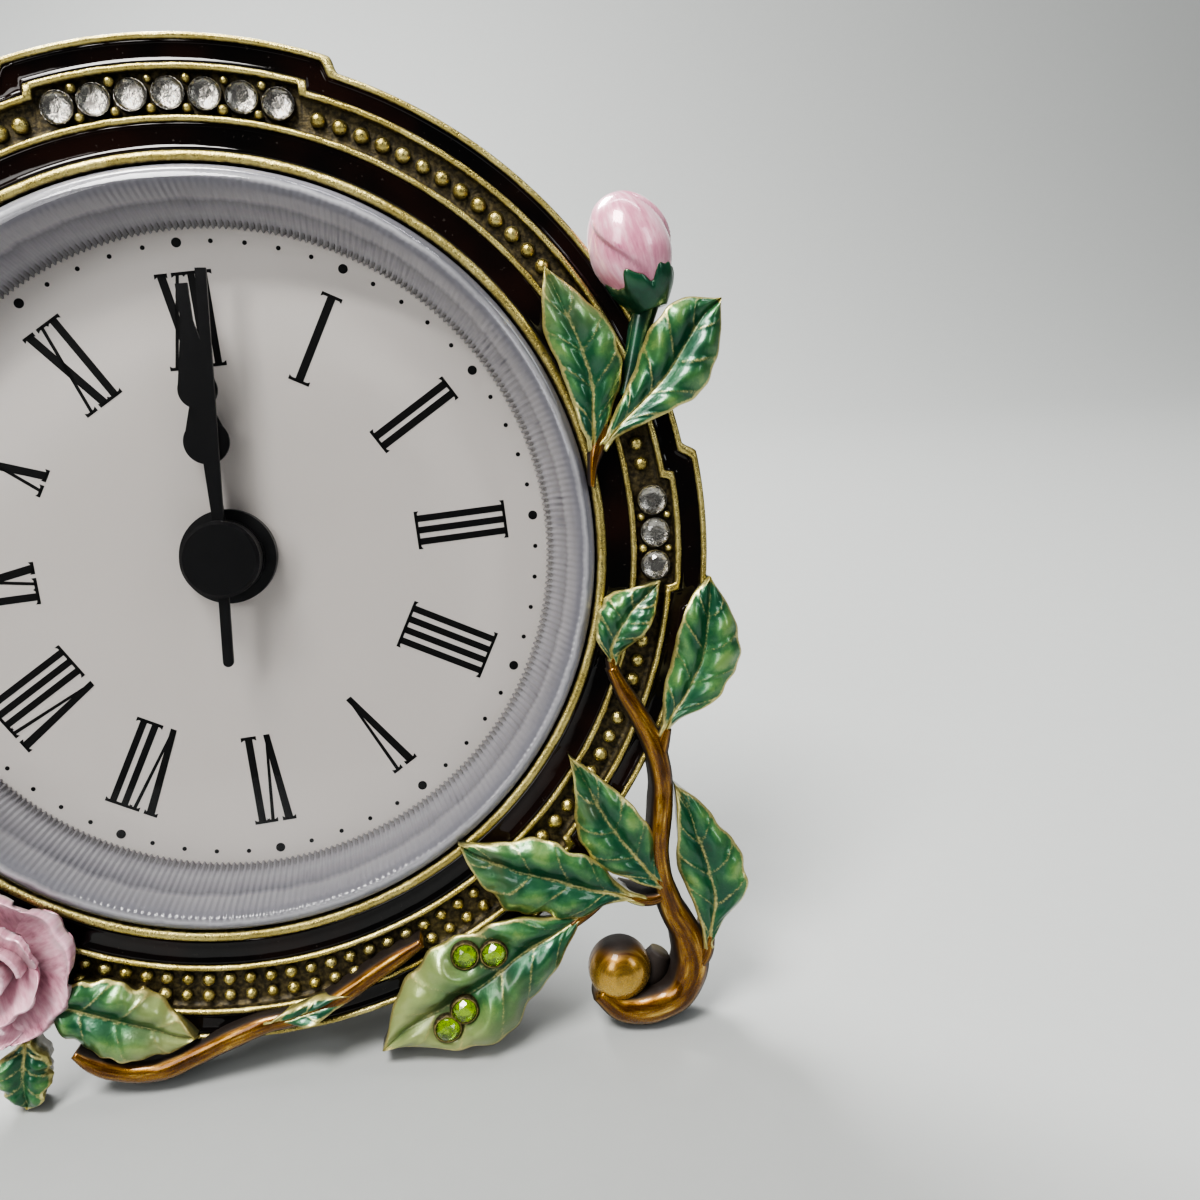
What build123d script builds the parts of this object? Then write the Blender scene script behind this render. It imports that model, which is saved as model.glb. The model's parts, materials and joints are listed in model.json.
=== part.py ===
from build123d import *

import math
import os

os.makedirs("parts", exist_ok=True)

# A pendulette: a quartz clock insert in a cast, enamelled and jewelled frame that leans back on an
# easel leg. Lengths are millimetres and angles are degrees. +Z is up, the dial faces -Y, and the
# origin is on the table, under the middle of the clock.

# Stance
lean = 12
leg_opening = 24
insert_turn = 4
foot_reach_share = 1.0971
centre_setback = -10.5

# Ring mouldings, from the opening outwards
lens_radius = 32.3
insert_gap = 0.1
inner_rim_width = 0.9
inner_channel_width = 2.1
moulding_width = 0.6
bead_bed_width = 2.6
outer_channel_width = 1.4

# Heights of the ring, measured from the dial towards the viewer
rim_height = 7.0
ring_depth = 5.4
channel_depth = 1.0
enamel_depth = 0.8
shell_wall = 1.4
skirt_wall = 1.2
collar_wall = 1.5
ledge_width = 2.0
ledge_depth = 1.0

# Stepped cartouches: where each is centred and half of the angle that it spans
top_cartouche = (90, 15.6)
right_cartouche = (0, 7.3)
left_cartouche = (180, 7.3)
bottom_cartouche = (270, 46)
inner_step = 0.8
outer_step = 1.1
outer_flare = 2.4

# Bead course
bead_radius = 0.62
bead_height = 0.85
bead_taper = 18
bead_sides = 4
bead_pitch_angle = 2.75
lower_bead_radius = 0.52
lower_row_gap = 1.5

# Stones
stone_radius = 1.2
stone_girdle = 0.35
stone_crown = 0.75
stone_sides = 8
stone_taper = 32
stone_pitch = 2.87
top_stone_count = 7
side_stone_count = 3
prong_radius = 0.32
prong_height = 0.7
prong_spread = 1.15
green_stone_radius = 1.05

# Sprays: leaves, vines, bud and rose
relief_depth = 3.8
leaf_edge = 0.95
leaf_slope = 0.42
leaf_sink = 1.5
petal_slope = 0.4
leaf_point = 0.3
vine_width = 1.0
vine_crown = 1.25
curl_ball_radius = 2.9
bud_length = 8.2
bud_radius = 3.0
calyx_wall = 0.35
rose_radius = 6.7
rose_height = 3.6

# Hinge and easel leg
hinge_inset = 5.2
hinge_depth = 14.5
pin_radius = 1.0
pin_clearance = 0.06
knuckle_wall = 0.9
lug_wall = 1.4
lug_thickness = 1.6
lug_gap = 0.3
leg_width = 8.0
leg_foot_width = 6.0
leg_thickness = 1.4
leg_crank = 6.5

# Insert
dial_gap = 0.2
dial_thickness = 0.5
lens_wall = 1.2
lens_foot_width = 3.6
lens_front = 1.4
lens_proud = 1.0
lens_shoulder = 1.8
flange_thickness = 1.5
flange_skirt = 1.9
tub_clearance = 0.74
tub_wall = 1.5
cover_thickness = 1.2
neck_radius = 3.0
neck_height = 1.3
nut_radius = 4.2
nut_height = 1.1

# Movement
wheel_thickness = 0.7
layer_gap = 0.4
running_gap = 0.05
play = 0.05
arbor_radius = 0.4
second_arbor_radius = 0.6
cannon_radius = 1.45
hour_pipe_radius = 2.25
knob_radius = 4.0
knob_height = 2.3
setting_shaft_radius = 0.9
seconds_train_module = 0.4
rotor_train_module = 0.26667
third_module = 0.35294
centre_module = 0.33333
motion_module = 0.45
hour_module = 0.48
pinion_teeth = 6
cannon_teeth = 8
step_teeth = 36
seconds_teeth = 30
third_teeth = 45
centre_teeth = 48
reversing_teeth = 24
hour_teeth = 24
motion_angle = 150
third_angle = 270
step_angle = 30
pivot_depth = 0.35
# Teeth: shares of the module above and below the pitch circle, and of the tooth pitch
addendum_share = 0.7
dedendum_share = 1.05
tooth_tip_share = 0.11
tooth_root_share = 0.26
stud_radius = 0.5
magnet_radius = 2.4
magnet_thickness = 0.9
air_gap = 0.5
stator_wall = 1.7
stator_arm = 2.5
coil_distance = 17.4
coil_foot = -9.0
coil_head = 3.6
core_foot = -12.0
core_width = 1.8
core_thickness = 0.6
bobbin_wall = 0.4
bobbin_width = 4.6
bobbin_height = 2.5
winding_margin = 0.2
plate_rim_gap = 0.6
post_radius = 0.9
post_sides = 6
front_post_angles = (75, 330, 255)
front_post_inset = 4.5
board_left = -10.0
board_bottom = 10.5
board_length = 14.0
board_width = 8.0
board_thickness = 0.6
chip_radius = 1.6
chip_height = 0.7
can_radius = 1.0
can_length = 6.0
can_margin = 2.0
cell_radius = 5.8
cell_height = 5.4
cell_gap = 0.3
cell_step = 0.8
cell_place = (-14.6, -7.6)
contact_thickness = 0.2
contact_width = 3.0

# Back cover, its screws and the battery door
boss_radius = 1.5
screw_angles = (50, 170, 285)
screw_radius = 0.7
screw_length = 5.0
screw_head_radius = 1.3
screw_head_height = 0.6
slot_width = 0.35
door_thickness = 0.8
door_gap = 0.15
rail_width = 0.5
rail_thickness = 0.4
grip_width = 0.5
grip_length = 7.0
grip_height = 0.3
grip_pitch = 1.3
grip_count = 3

# Hands
hand_thickness = 0.35
hub_radius = 3.3
hour_hand_level = 1.5
minute_hand_level = 2.7
second_hand_level = 3.8
hub_height = 0.75
cap_height = 1.2
cap_chamfer = 0.3
hour_hand_gap = 14.4
minute_hand_gap = 7.4
second_hand_gap = 6.4
second_hand_tail = 9.0
hand_stem_width = 0.9
hand_tip_width = 1.0
hour_swelling_width = 3.9
hour_swelling_shares = (0.618, 0.885)
minute_swelling_width = 3.3
minute_swelling_shares = (0.621, 0.868)
minute_hand_turn = 1.0
second_hand_turn = 5.6
bore_relief = 0.3

# Sizes that follow from the ones above
bore_radius = lens_radius + insert_gap
inner_rim_radius = bore_radius + inner_rim_width
inner_channel_radius = inner_rim_radius + inner_channel_width
bed_radius = inner_channel_radius + moulding_width
bed_outer_radius = bed_radius + bead_bed_width
outer_channel_radius = bed_outer_radius + moulding_width
outer_rim_radius = outer_channel_radius + outer_channel_width
frame_radius = outer_rim_radius + moulding_width
ground_reach = foot_reach_share * frame_radius
hinge_radius = frame_radius - hinge_inset
collar_radius = bore_radius + collar_wall
ring_back = rim_height - ring_depth
floor_level = rim_height - channel_depth
hollow_level = floor_level - shell_wall
relief_back = rim_height - relief_depth
bead_radius_line = (bed_radius + bed_outer_radius) / 2
cartouches = (top_cartouche, right_cartouche, left_cartouche, bottom_cartouche)

# The dial fits inside the crystal's wall, and the tub holds the cell and the coil
dial_radius = lens_radius - lens_wall - dial_gap
cell_reach = math.hypot(*cell_place) + cell_radius
coil_reach = math.hypot(coil_distance + core_width / 2, core_foot)
tub_bore = max(cell_reach, coil_reach) + tub_clearance
tub_radius = tub_bore + tub_wall
hour_hand_reach = dial_radius - hour_hand_gap
minute_hand_reach = dial_radius - minute_hand_gap
second_hand_reach = dial_radius - second_hand_gap

flange_front = -dial_thickness
plate_back = flange_front - flange_thickness
flange_back = plate_back + flange_thickness - flange_skirt
ledge_front = flange_back
ledge_back = ledge_front - ledge_depth
layer_pitch = wheel_thickness + layer_gap


def layer(index):
    """The lower level of a layer of the movement, counted back from the front plate."""
    return plate_back - index * layer_pitch


hour_layer = layer(1)
reversing_layer = layer(2)
centre_layer = layer(3)
middle_plate_layer = layer(4)
third_layer = layer(5)
seconds_layer = layer(6)
step_layer = layer(7)
stator_layer = layer(8)
cover_front = stator_layer - layer_gap
cover_back = cover_front - cover_thickness


def turned(plane, angle):
    """The same plane, turned about its own normal."""
    turn = math.radians(angle)
    x_dir = plane.x_dir * math.cos(turn) + plane.y_dir * math.sin(turn)
    return Plane(origin=plane.origin, x_dir=x_dir, z_dir=plane.z_dir)


# The face: local x to the right, local y up the dial, local z towards the viewer
lean_sine = math.sin(math.radians(lean))
lean_cosine = math.cos(math.radians(lean))
dial_height = ground_reach * lean_cosine - relief_back * lean_sine
face = Plane(
    origin=(0, centre_setback, dial_height),
    x_dir=(1, 0, 0),
    z_dir=(0, -lean_cosine, lean_sine),
)
insert_face = turned(face, insert_turn)
face_side = Plane(origin=face.origin, x_dir=face.x_dir, z_dir=-face.y_dir)
dial_axis = Axis(face.origin, face.z_dir)


def polar(radius, angle):
    """A point on the face at a radius and an angle counted from the right."""
    turn = math.radians(angle)
    return (radius * math.cos(turn), radius * math.sin(turn))


def pie(radius, centre, half):
    """A slice of a disc."""
    with BuildSketch() as slice_shape:
        with BuildLine():
            rim = CenterArc((0, 0), radius, centre - half, 2 * half)
            Line(rim @ 1, (0, 0))
            Line((0, 0), rim @ 0)
        make_face()
    return slice_shape.sketch


def stepped_disc(radius, step, flare):
    """A disc that steps outwards at each cartouche."""
    with BuildSketch() as disc:
        Circle(radius)
        for centre, half in cartouches:
            add(pie(radius + step, centre, half + flare))
    return disc.sketch


def ring_points(radius, start, end, pitch):
    """Evenly spaced points along an arc, with one at each end."""
    count = max(1, round((end - start) / pitch))
    return [polar(radius, start + (end - start) * step / count) for step in range(count + 1)]


# Places of the stones, and of the small cast beads that hold them
top_stone_radius = bed_radius + (bead_bed_width + inner_step) / 2
top_stone_angle = math.degrees(stone_pitch / top_stone_radius)


def stone_row(cartouche, count):
    """The places of a row of stones, centred in its cartouche."""
    first = cartouche[0] - top_stone_angle * (count - 1) / 2
    return [polar(top_stone_radius, first + top_stone_angle * i) for i in range(count)]


def prong_pairs(cartouche, count):
    """A bead inside and outside each gap between the stones of a row."""
    first = cartouche[0] - top_stone_angle * (count - 2) / 2
    angles = [first + top_stone_angle * i for i in range(count - 1)]
    inner = [polar(top_stone_radius - prong_spread, angle) for angle in angles]
    return inner + [polar(top_stone_radius + prong_spread, angle) for angle in angles]


stone_rows = (
    (top_cartouche, top_stone_count),
    (right_cartouche, side_stone_count),
    (left_cartouche, side_stone_count),
)
clear_stone_places = []
prong_places = []
for row in stone_rows:
    clear_stone_places += stone_row(*row)
    prong_places += prong_pairs(*row)

# Arcs of the single bead course, and of the double course along the bottom
bead_arcs = ((38.5, 72), (108, 170), (9.4, 12.2), (314, 345), (190, 222))
lower_bead_arc = (228, 310)
lower_row_radius = bed_radius + (bead_bed_width + inner_step) / 2

# The easel's hinge: local x up the face, local y towards the viewer, local z to the right
pin_level = rim_height - hinge_depth
pin_point = face.from_local_coords((0, hinge_radius, pin_level))
hinge_plane = Plane(origin=pin_point, x_dir=face.y_dir, z_dir=face.x_dir)
leg_plane = turned(hinge_plane, leg_opening)
knuckle_radius = pin_radius + pin_clearance + knuckle_wall
lug_radius = pin_radius + lug_wall
lug_inner = leg_width / 2 + lug_gap
lug_outer = lug_inner + lug_thickness
lug_height = hollow_level - pin_level

with BuildPart() as frame_casting:
    with BuildSketch(face.offset(ring_back)):
        add(stepped_disc(frame_radius, outer_step, outer_flare))
        Circle(bore_radius, mode=Mode.SUBTRACT)
    extrude(amount=ring_depth)
    with BuildSketch(face.offset(rim_height)):
        add(stepped_disc(outer_rim_radius, outer_step, outer_flare))
        add(stepped_disc(outer_channel_radius, inner_step, 0), mode=Mode.SUBTRACT)
    extrude(amount=-channel_depth, mode=Mode.SUBTRACT)
    with BuildSketch(face.offset(rim_height)):
        add(stepped_disc(bed_outer_radius, inner_step, 0))
        Circle(bed_radius, mode=Mode.SUBTRACT)
    extrude(amount=-channel_depth, mode=Mode.SUBTRACT)
    with BuildSketch(face.offset(rim_height)):
        Circle(inner_channel_radius)
        Circle(inner_rim_radius, mode=Mode.SUBTRACT)
    extrude(amount=-channel_depth, mode=Mode.SUBTRACT)
    # The hollow back, between the skirt and the collar round the insert
    with BuildSketch(face.offset(ring_back)):
        Circle(frame_radius - skirt_wall)
        Circle(collar_radius, mode=Mode.SUBTRACT)
    extrude(amount=hollow_level - ring_back, mode=Mode.SUBTRACT)
    with BuildSketch(face.offset(ledge_back)):
        Circle(collar_radius)
        Circle(bore_radius, mode=Mode.SUBTRACT)
    extrude(amount=ring_back - ledge_back)
    with BuildSketch(face.offset(ledge_back)):
        Circle(bore_radius)
        Circle(bore_radius - ledge_width, mode=Mode.SUBTRACT)
    extrude(amount=ledge_depth)
    # Two lugs behind the top, which carry the leg's pin
    for side in (-1, 1):
        with BuildSketch(hinge_plane.offset(min(side * lug_inner, side * lug_outer))):
            Circle(lug_radius)
            with Locations((0, lug_height / 2)):
                Rectangle(2 * lug_radius, lug_height)
            Circle(pin_radius, mode=Mode.SUBTRACT)
        extrude(amount=lug_thickness)
    # The bead courses and the beads that hold the stones
    with BuildSketch(face.offset(floor_level)):
        for start, end in bead_arcs:
            with Locations(*ring_points(bead_radius_line, start, end, bead_pitch_angle)):
                RegularPolygon(bead_radius, bead_sides)
    extrude(amount=bead_height, taper=bead_taper)
    with BuildSketch(face.offset(floor_level)):
        for row in (-1, 1):
            row_radius = lower_row_radius + row * lower_row_gap / 2
            with Locations(*ring_points(row_radius, *lower_bead_arc, bead_pitch_angle)):
                RegularPolygon(lower_bead_radius, bead_sides)
    extrude(amount=bead_height, taper=bead_taper)
    with BuildSketch(face.offset(floor_level)):
        with Locations(*prong_places):
            RegularPolygon(prong_radius, bead_sides)
    extrude(amount=prong_height, taper=bead_taper / 2)

# The space that the ring fills, which the sprays are notched round
with BuildPart() as ring_space:
    with BuildSketch(face.offset(ledge_back)):
        add(stepped_disc(frame_radius, outer_step, outer_flare))
    extrude(amount=rim_height - ledge_back)

frame_casting.part.label = "frame_casting"
export_step(frame_casting.part, "parts/frame_casting.step")

with BuildPart() as hinge_pin:
    with BuildSketch(hinge_plane.offset(-lug_outer)):
        Circle(pin_radius)
    extrude(amount=2 * lug_outer)

hinge_pin.part.label = "hinge_pin"
export_step(hinge_pin.part, "parts/hinge_pin.step")

with BuildPart() as inner_enamel:
    with BuildSketch(face.offset(floor_level)):
        Circle(inner_channel_radius)
        Circle(inner_rim_radius, mode=Mode.SUBTRACT)
    extrude(amount=enamel_depth)

inner_enamel.part.label = "inner_enamel"
export_step(inner_enamel.part, "parts/inner_enamel.step")

with BuildPart() as outer_enamel:
    with BuildSketch(face.offset(floor_level)):
        add(stepped_disc(outer_rim_radius, outer_step, outer_flare))
        add(stepped_disc(outer_channel_radius, inner_step, 0), mode=Mode.SUBTRACT)
    extrude(amount=enamel_depth)

outer_enamel.part.label = "outer_enamel"
export_step(outer_enamel.part, "parts/outer_enamel.step")


def stones(places, radius, seat):
    """Faceted stones: a girdle and a tapered crown on each place."""
    with BuildPart() as set_of_stones:
        with BuildSketch(face.offset(seat)):
            with Locations(*places):
                RegularPolygon(radius, stone_sides)
        extrude(amount=stone_girdle)
        with BuildSketch(face.offset(seat + stone_girdle)):
            with Locations(*places):
                RegularPolygon(radius, stone_sides)
        extrude(amount=stone_crown, taper=stone_taper)
    return set_of_stones.part


with BuildPart() as clear_stones:
    add(stones(clear_stone_places, stone_radius, floor_level))

clear_stones.part.label = "clear_stones"
export_step(clear_stones.part, "parts/clear_stones.step")


def cross_plane(x, y, heading):
    """A plane that stands on the face, square to a heading: local x to the left, local y outwards."""
    turn = math.radians(heading)
    ahead = face.x_dir * math.cos(turn) + face.y_dir * math.sin(turn)
    left = face.y_dir * math.cos(turn) - face.x_dir * math.sin(turn)
    return Plane(origin=face.from_local_coords((x, y, 0)), x_dir=left, z_dir=ahead)


def path_headings(points):
    """The heading at each point of a path, along the chord between its neighbours."""
    headings = []
    for index in range(len(points)):
        before = points[max(index - 1, 0)]
        after = points[min(index + 1, len(points) - 1)]
        headings.append(math.degrees(math.atan2(after[1] - before[1], after[0] - before[0])))
    return headings


# Shares of a vine's half width where its rounded top turns
vine_round_shares = ((1.0, 0.0), (0.72, 0.68), (0.0, 1.0), (-0.72, 0.68), (-1.0, 0.0))


def vine(stations):
    """A half-round stem with a flat back: each station is x, y and half width, in shares."""
    points = [(x * frame_radius, y * frame_radius) for x, y, _ in stations]
    with BuildPart() as stem:
        for point, heading, station in zip(points, path_headings(points), stations):
            half = station[2] * vine_width
            spring = rim_height + vine_crown - half
            outline = [(-half, relief_back), (half, relief_back)]
            outline += [(half * across, spring + half * up) for across, up in vine_round_shares]
            with BuildSketch(cross_plane(*point, heading)):
                with BuildLine():
                    Polyline(*outline, close=True)
                make_face()
        loft(ruled=True)
    return stem.part


right_vine_shares = (
    (0.799, -0.282, 0.50),
    (0.823, -0.335, 0.75),
    (0.859, -0.403, 0.95),
    (0.886, -0.468, 1.00),
    (0.898, -0.541, 1.00),
    (0.893, -0.614, 1.00),
    (0.884, -0.687, 0.90),
    (0.888, -0.765, 0.95),
    (0.905, -0.833, 1.20),
    (0.937, -0.905, 1.50),
    (0.945, -0.976, 1.65),
    (0.913, -1.041, 1.70),
    (0.845, -1.066, 1.65),
    (0.786, -1.036, 1.90),
)
curl_ball_shares = (0.786, -0.981)


# Shares of a dome's radius where its head turns, from its wall up to its top
dome_shares = ((1.0, 0.0), (0.85, 0.53), (0.5, 0.87), (0.0, 1.0))


def dome(x, y, radius, low, top):
    """A round-headed boss on the face, from a level up to the top of its half-round head."""
    side = Plane(origin=face.from_local_coords((x, y, 0)), x_dir=face.x_dir, z_dir=-face.y_dir)
    with BuildPart() as boss:
        with BuildSketch(side):
            with BuildLine():
                Polyline(
                    (0, low),
                    (radius, low),
                    *[(radius * out, top - radius + radius * up) for out, up in dome_shares],
                    close=True,
                )
            make_face()
        revolve(axis=Axis(side.origin, face.z_dir))
    return boss.part


# The vines stand on the table: what would reach below it is filed flat
curl_ball_place = (curl_ball_shares[0] * frame_radius, curl_ball_shares[1] * frame_radius)
curl_top = relief_back + relief_depth + vine_crown

with BuildPart() as right_vine:
    add(vine(right_vine_shares))
    add(dome(*curl_ball_place, curl_ball_radius, relief_back, curl_top))
    add(ring_space.part, mode=Mode.SUBTRACT)
    split(bisect_by=Plane.XY, keep=Keep.TOP)

right_vine.part.label = "right_vine"
export_step(right_vine.part, "parts/right_vine.step")

with BuildPart() as left_vine:
    mirror(right_vine.part, about=Plane.YZ)

left_vine.part.label = "left_vine"
export_step(left_vine.part, "parts/left_vine.step")

bottom_vine_shares = (
    (-0.352, -1.024, 0.80),
    (-0.291, -1.058, 0.90),
    (-0.218, -1.066, 1.00),
    (-0.133, -1.041, 1.00),
    (-0.049, -1.010, 1.00),
    (0.012, -0.990, 0.90),
    (0.073, -0.983, 0.90),
    (0.133, -0.968, 0.80),
    (0.182, -0.944, 0.90),
    (0.243, -0.908, 0.90),
    (0.303, -0.874, 0.80),
    (0.354, -0.845, 0.50),
)

with BuildPart() as bottom_vine:
    add(vine(bottom_vine_shares))
    add(ring_space.part, mode=Mode.SUBTRACT)

bottom_vine.part.label = "bottom_vine"
export_step(bottom_vine.part, "parts/bottom_vine.step")

# Leaves: base and tip as shares of the frame's radius, then the widths to the left and right of the
# line between them, as shares of its length, at seven stations from base to tip
leaf_station_shares = (0.0, 0.12, 0.3, 0.5, 0.7, 0.88, 1.0)
leaf_shares = {
    "bud_left_leaf": (
        (0.789, 0.180), (0.709, 0.556),
        (0.0, 0.04, 0.05, 0.07, 0.09, 0.05, 0.0),
        (0.0, 0.11, 0.23, 0.27, 0.22, 0.10, 0.0),
    ),
    "bud_right_leaf": (
        (0.806, 0.184), (1.075, 0.481),
        (0.0, 0.05, 0.09, 0.15, 0.20, 0.14, 0.0),
        (0.0, 0.04, 0.12, 0.21, 0.20, 0.10, 0.0),
    ),
    "right_small_leaf": (
        (0.801, -0.272), (0.915, -0.102),
        (0.0, 0.26, 0.37, 0.42, 0.32, 0.13, 0.0),
        (0.0, 0.04, 0.09, 0.13, 0.12, 0.05, 0.0),
    ),
    "right_side_leaf": (
        (0.903, -0.444), (1.024, -0.100),
        (0.0, 0.04, 0.08, 0.08, 0.11, 0.07, 0.0),
        (0.0, 0.06, 0.22, 0.30, 0.28, 0.14, 0.0),
    ),
    "right_inner_leaf": (
        (0.893, -0.786), (0.697, -0.468),
        (0.0, 0.09, 0.20, 0.25, 0.17, 0.06, 0.0),
        (0.0, 0.04, 0.12, 0.14, 0.10, 0.05, 0.0),
    ),
    "right_outer_leaf": (
        (0.983, -0.934), (0.925, -0.551),
        (0.0, 0.02, 0.04, 0.08, 0.06, 0.02, 0.0),
        (0.0, 0.10, 0.26, 0.29, 0.21, 0.11, 0.0),
    ),
    "bridge_leaf": (
        (0.845, -0.808), (0.447, -0.636),
        (0.0, 0.03, 0.17, 0.23, 0.23, 0.11, 0.0),
        (0.0, 0.03, 0.12, 0.16, 0.13, 0.04, 0.0),
    ),
    "jewelled_leaf": (
        (0.704, -0.825), (0.252, -1.080),
        (0.0, 0.08, 0.16, 0.24, 0.19, 0.06, 0.0),
        (0.0, 0.09, 0.20, 0.24, 0.23, 0.11, 0.0),
    ),
    "rose_right_leaf": (
        (-0.413, -0.886), (-0.129, -1.000),
        (0.0, 0.19, 0.26, 0.26, 0.21, 0.10, 0.0),
        (0.0, 0.19, 0.25, 0.26, 0.21, 0.13, 0.0),
    ),
    "rose_lower_leaf": (
        (-0.466, -0.956), (-0.481, -1.112),
        (0.0, 0.13, 0.29, 0.31, 0.28, 0.20, 0.0),
        (0.0, 0.13, 0.31, 0.37, 0.33, 0.20, 0.0),
    ),
}


def leaf(name):
    """A leaf whose halves each rise to a crown, with a groove along the vein between them."""
    base, tip, left_shares, right_shares = leaf_shares[name]
    start = Vector(*base) * frame_radius
    reach = Vector(*tip) * frame_radius - start
    heading = math.degrees(math.atan2(reach.Y, reach.X))
    low = rim_height - leaf_sink
    edge = rim_height + leaf_edge
    with BuildPart() as blade:
        for station, left, right in zip(leaf_station_shares, left_shares, right_shares):
            place = start + reach * station
            left_edge = max(left * reach.length, leaf_point)
            right_edge = max(right * reach.length, leaf_point)
            outline = [
                (left_edge, low),
                (left_edge, edge),
                (left_edge / 2, edge + leaf_slope * left_edge / 2),
                (0, edge),
                (-right_edge / 2, edge + leaf_slope * right_edge / 2),
                (-right_edge, edge),
                (-right_edge, low),
            ]
            with BuildSketch(cross_plane(place.X, place.Y, heading)):
                with BuildLine():
                    Polyline(*outline, close=True)
                make_face()
        loft(ruled=True)
    return blade.part


# Each leaf is notched round the ring and round the pieces that lie over or beside it
with BuildPart() as right_outer_leaf:
    add(leaf("right_outer_leaf"))
    add(ring_space.part, mode=Mode.SUBTRACT)
    add(right_vine.part, mode=Mode.SUBTRACT)

right_outer_leaf.part.label = "right_outer_leaf"
export_step(right_outer_leaf.part, "parts/right_outer_leaf.step")

with BuildPart() as right_inner_leaf:
    add(leaf("right_inner_leaf"))
    add(ring_space.part, mode=Mode.SUBTRACT)
    add(right_vine.part, mode=Mode.SUBTRACT)

right_inner_leaf.part.label = "right_inner_leaf"
export_step(right_inner_leaf.part, "parts/right_inner_leaf.step")

with BuildPart() as right_side_leaf:
    add(leaf("right_side_leaf"))
    add(ring_space.part, mode=Mode.SUBTRACT)
    add(right_vine.part, mode=Mode.SUBTRACT)

right_side_leaf.part.label = "right_side_leaf"
export_step(right_side_leaf.part, "parts/right_side_leaf.step")

with BuildPart() as right_small_leaf:
    add(leaf("right_small_leaf"))
    add(ring_space.part, mode=Mode.SUBTRACT)
    add(right_vine.part, mode=Mode.SUBTRACT)

right_small_leaf.part.label = "right_small_leaf"
export_step(right_small_leaf.part, "parts/right_small_leaf.step")

# The left vine carries the same four leaves
for leaf_name, right_leaf in (
    ("outer", right_outer_leaf),
    ("inner", right_inner_leaf),
    ("side", right_side_leaf),
    ("small", right_small_leaf),
):
    with BuildPart() as left_leaf:
        mirror(right_leaf.part, about=Plane.YZ)
    left_leaf.part.label = f"left_{leaf_name}_leaf"
    export_step(left_leaf.part, f"parts/left_{leaf_name}_leaf.step")

with BuildPart() as bridge_leaf:
    add(leaf("bridge_leaf"))
    add(ring_space.part, mode=Mode.SUBTRACT)
    add(right_vine.part, mode=Mode.SUBTRACT)
    add(right_inner_leaf.part, mode=Mode.SUBTRACT)

bridge_leaf.part.label = "bridge_leaf"
export_step(bridge_leaf.part, "parts/bridge_leaf.step")

green_stone_shares = ((0.444, -0.876), (0.505, -0.879), (0.434, -0.998), (0.396, -1.035))
green_stone_places = [(x * frame_radius, y * frame_radius) for x, y in green_stone_shares]
green_stone_seat = rim_height + leaf_edge / 2

with BuildPart() as green_stones:
    add(stones(green_stone_places, green_stone_radius, green_stone_seat))

green_stones.part.label = "green_stones"
export_step(green_stones.part, "parts/green_stones.step")

with BuildPart() as jewelled_leaf:
    add(leaf("jewelled_leaf"))
    with BuildSketch(face.offset(green_stone_seat)):
        with Locations(*green_stone_places):
            RegularPolygon(green_stone_radius, stone_sides)
    extrude(amount=relief_depth, mode=Mode.SUBTRACT)
    add(ring_space.part, mode=Mode.SUBTRACT)
    add(bridge_leaf.part, mode=Mode.SUBTRACT)
    add(bottom_vine.part, mode=Mode.SUBTRACT)

jewelled_leaf.part.label = "jewelled_leaf"
export_step(jewelled_leaf.part, "parts/jewelled_leaf.step")

# The bud spray: two leaves, and a rosebud in its calyx on a short stem
with BuildPart() as bud_left_leaf:
    add(leaf("bud_left_leaf"))
    add(ring_space.part, mode=Mode.SUBTRACT)

bud_left_leaf.part.label = "bud_left_leaf"
export_step(bud_left_leaf.part, "parts/bud_left_leaf.step")

with BuildPart() as bud_right_leaf:
    add(leaf("bud_right_leaf"))
    add(ring_space.part, mode=Mode.SUBTRACT)
    add(bud_left_leaf.part, mode=Mode.SUBTRACT)

bud_right_leaf.part.label = "bud_right_leaf"
export_step(bud_right_leaf.part, "parts/bud_right_leaf.step")

bud_base_shares = (0.920, 0.497)
bud_heading = 107
bud_profile_shares = ((0, 0.55), (0.18, 0.88), (0.42, 1.0), (0.68, 0.9), (0.88, 0.55), (1.0, 0.15))
bud_base = face.from_local_coords(
    (bud_base_shares[0] * frame_radius, bud_base_shares[1] * frame_radius, rim_height)
)
bud_plane = turned(Plane(origin=bud_base, x_dir=face.x_dir, z_dir=face.z_dir), bud_heading)


def bud_shell(profile_shares, wall):
    """A body of revolution along the bud, a wall thicker than its profile."""
    with BuildPart() as shell:
        with BuildSketch(bud_plane):
            with BuildLine():
                outline = [(along * bud_length, out * bud_radius + wall) for along, out in profile_shares]
                Polyline((outline[0][0], 0), *outline, (outline[-1][0], 0), close=True)
            make_face()
        revolve(axis=Axis(bud_plane.origin, bud_plane.x_dir))
    return shell.part


with BuildPart() as rosebud:
    add(bud_shell(bud_profile_shares, 0))
    add(ring_space.part, mode=Mode.SUBTRACT)

rosebud.part.label = "rosebud"
export_step(rosebud.part, "parts/rosebud.step")

calyx_profile_shares = ((-0.16, 0.2), (0, 0.6), (0.22, 0.92))
bud_stem_shares = ((0.922, 0.490, 1.0), (0.903, 0.425, 0.8), (0.881, 0.345, 0.7), (0.864, 0.289, 0.6))

with BuildPart() as bud_calyx:
    add(bud_shell(calyx_profile_shares, calyx_wall))
    add(vine(bud_stem_shares))
    add(ring_space.part, mode=Mode.SUBTRACT)
    add(rosebud.part, mode=Mode.SUBTRACT)
    add(bud_left_leaf.part, mode=Mode.SUBTRACT)
    add(bud_right_leaf.part, mode=Mode.SUBTRACT)

bud_calyx.part.label = "bud_calyx"
export_step(bud_calyx.part, "parts/bud_calyx.step")

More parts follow.
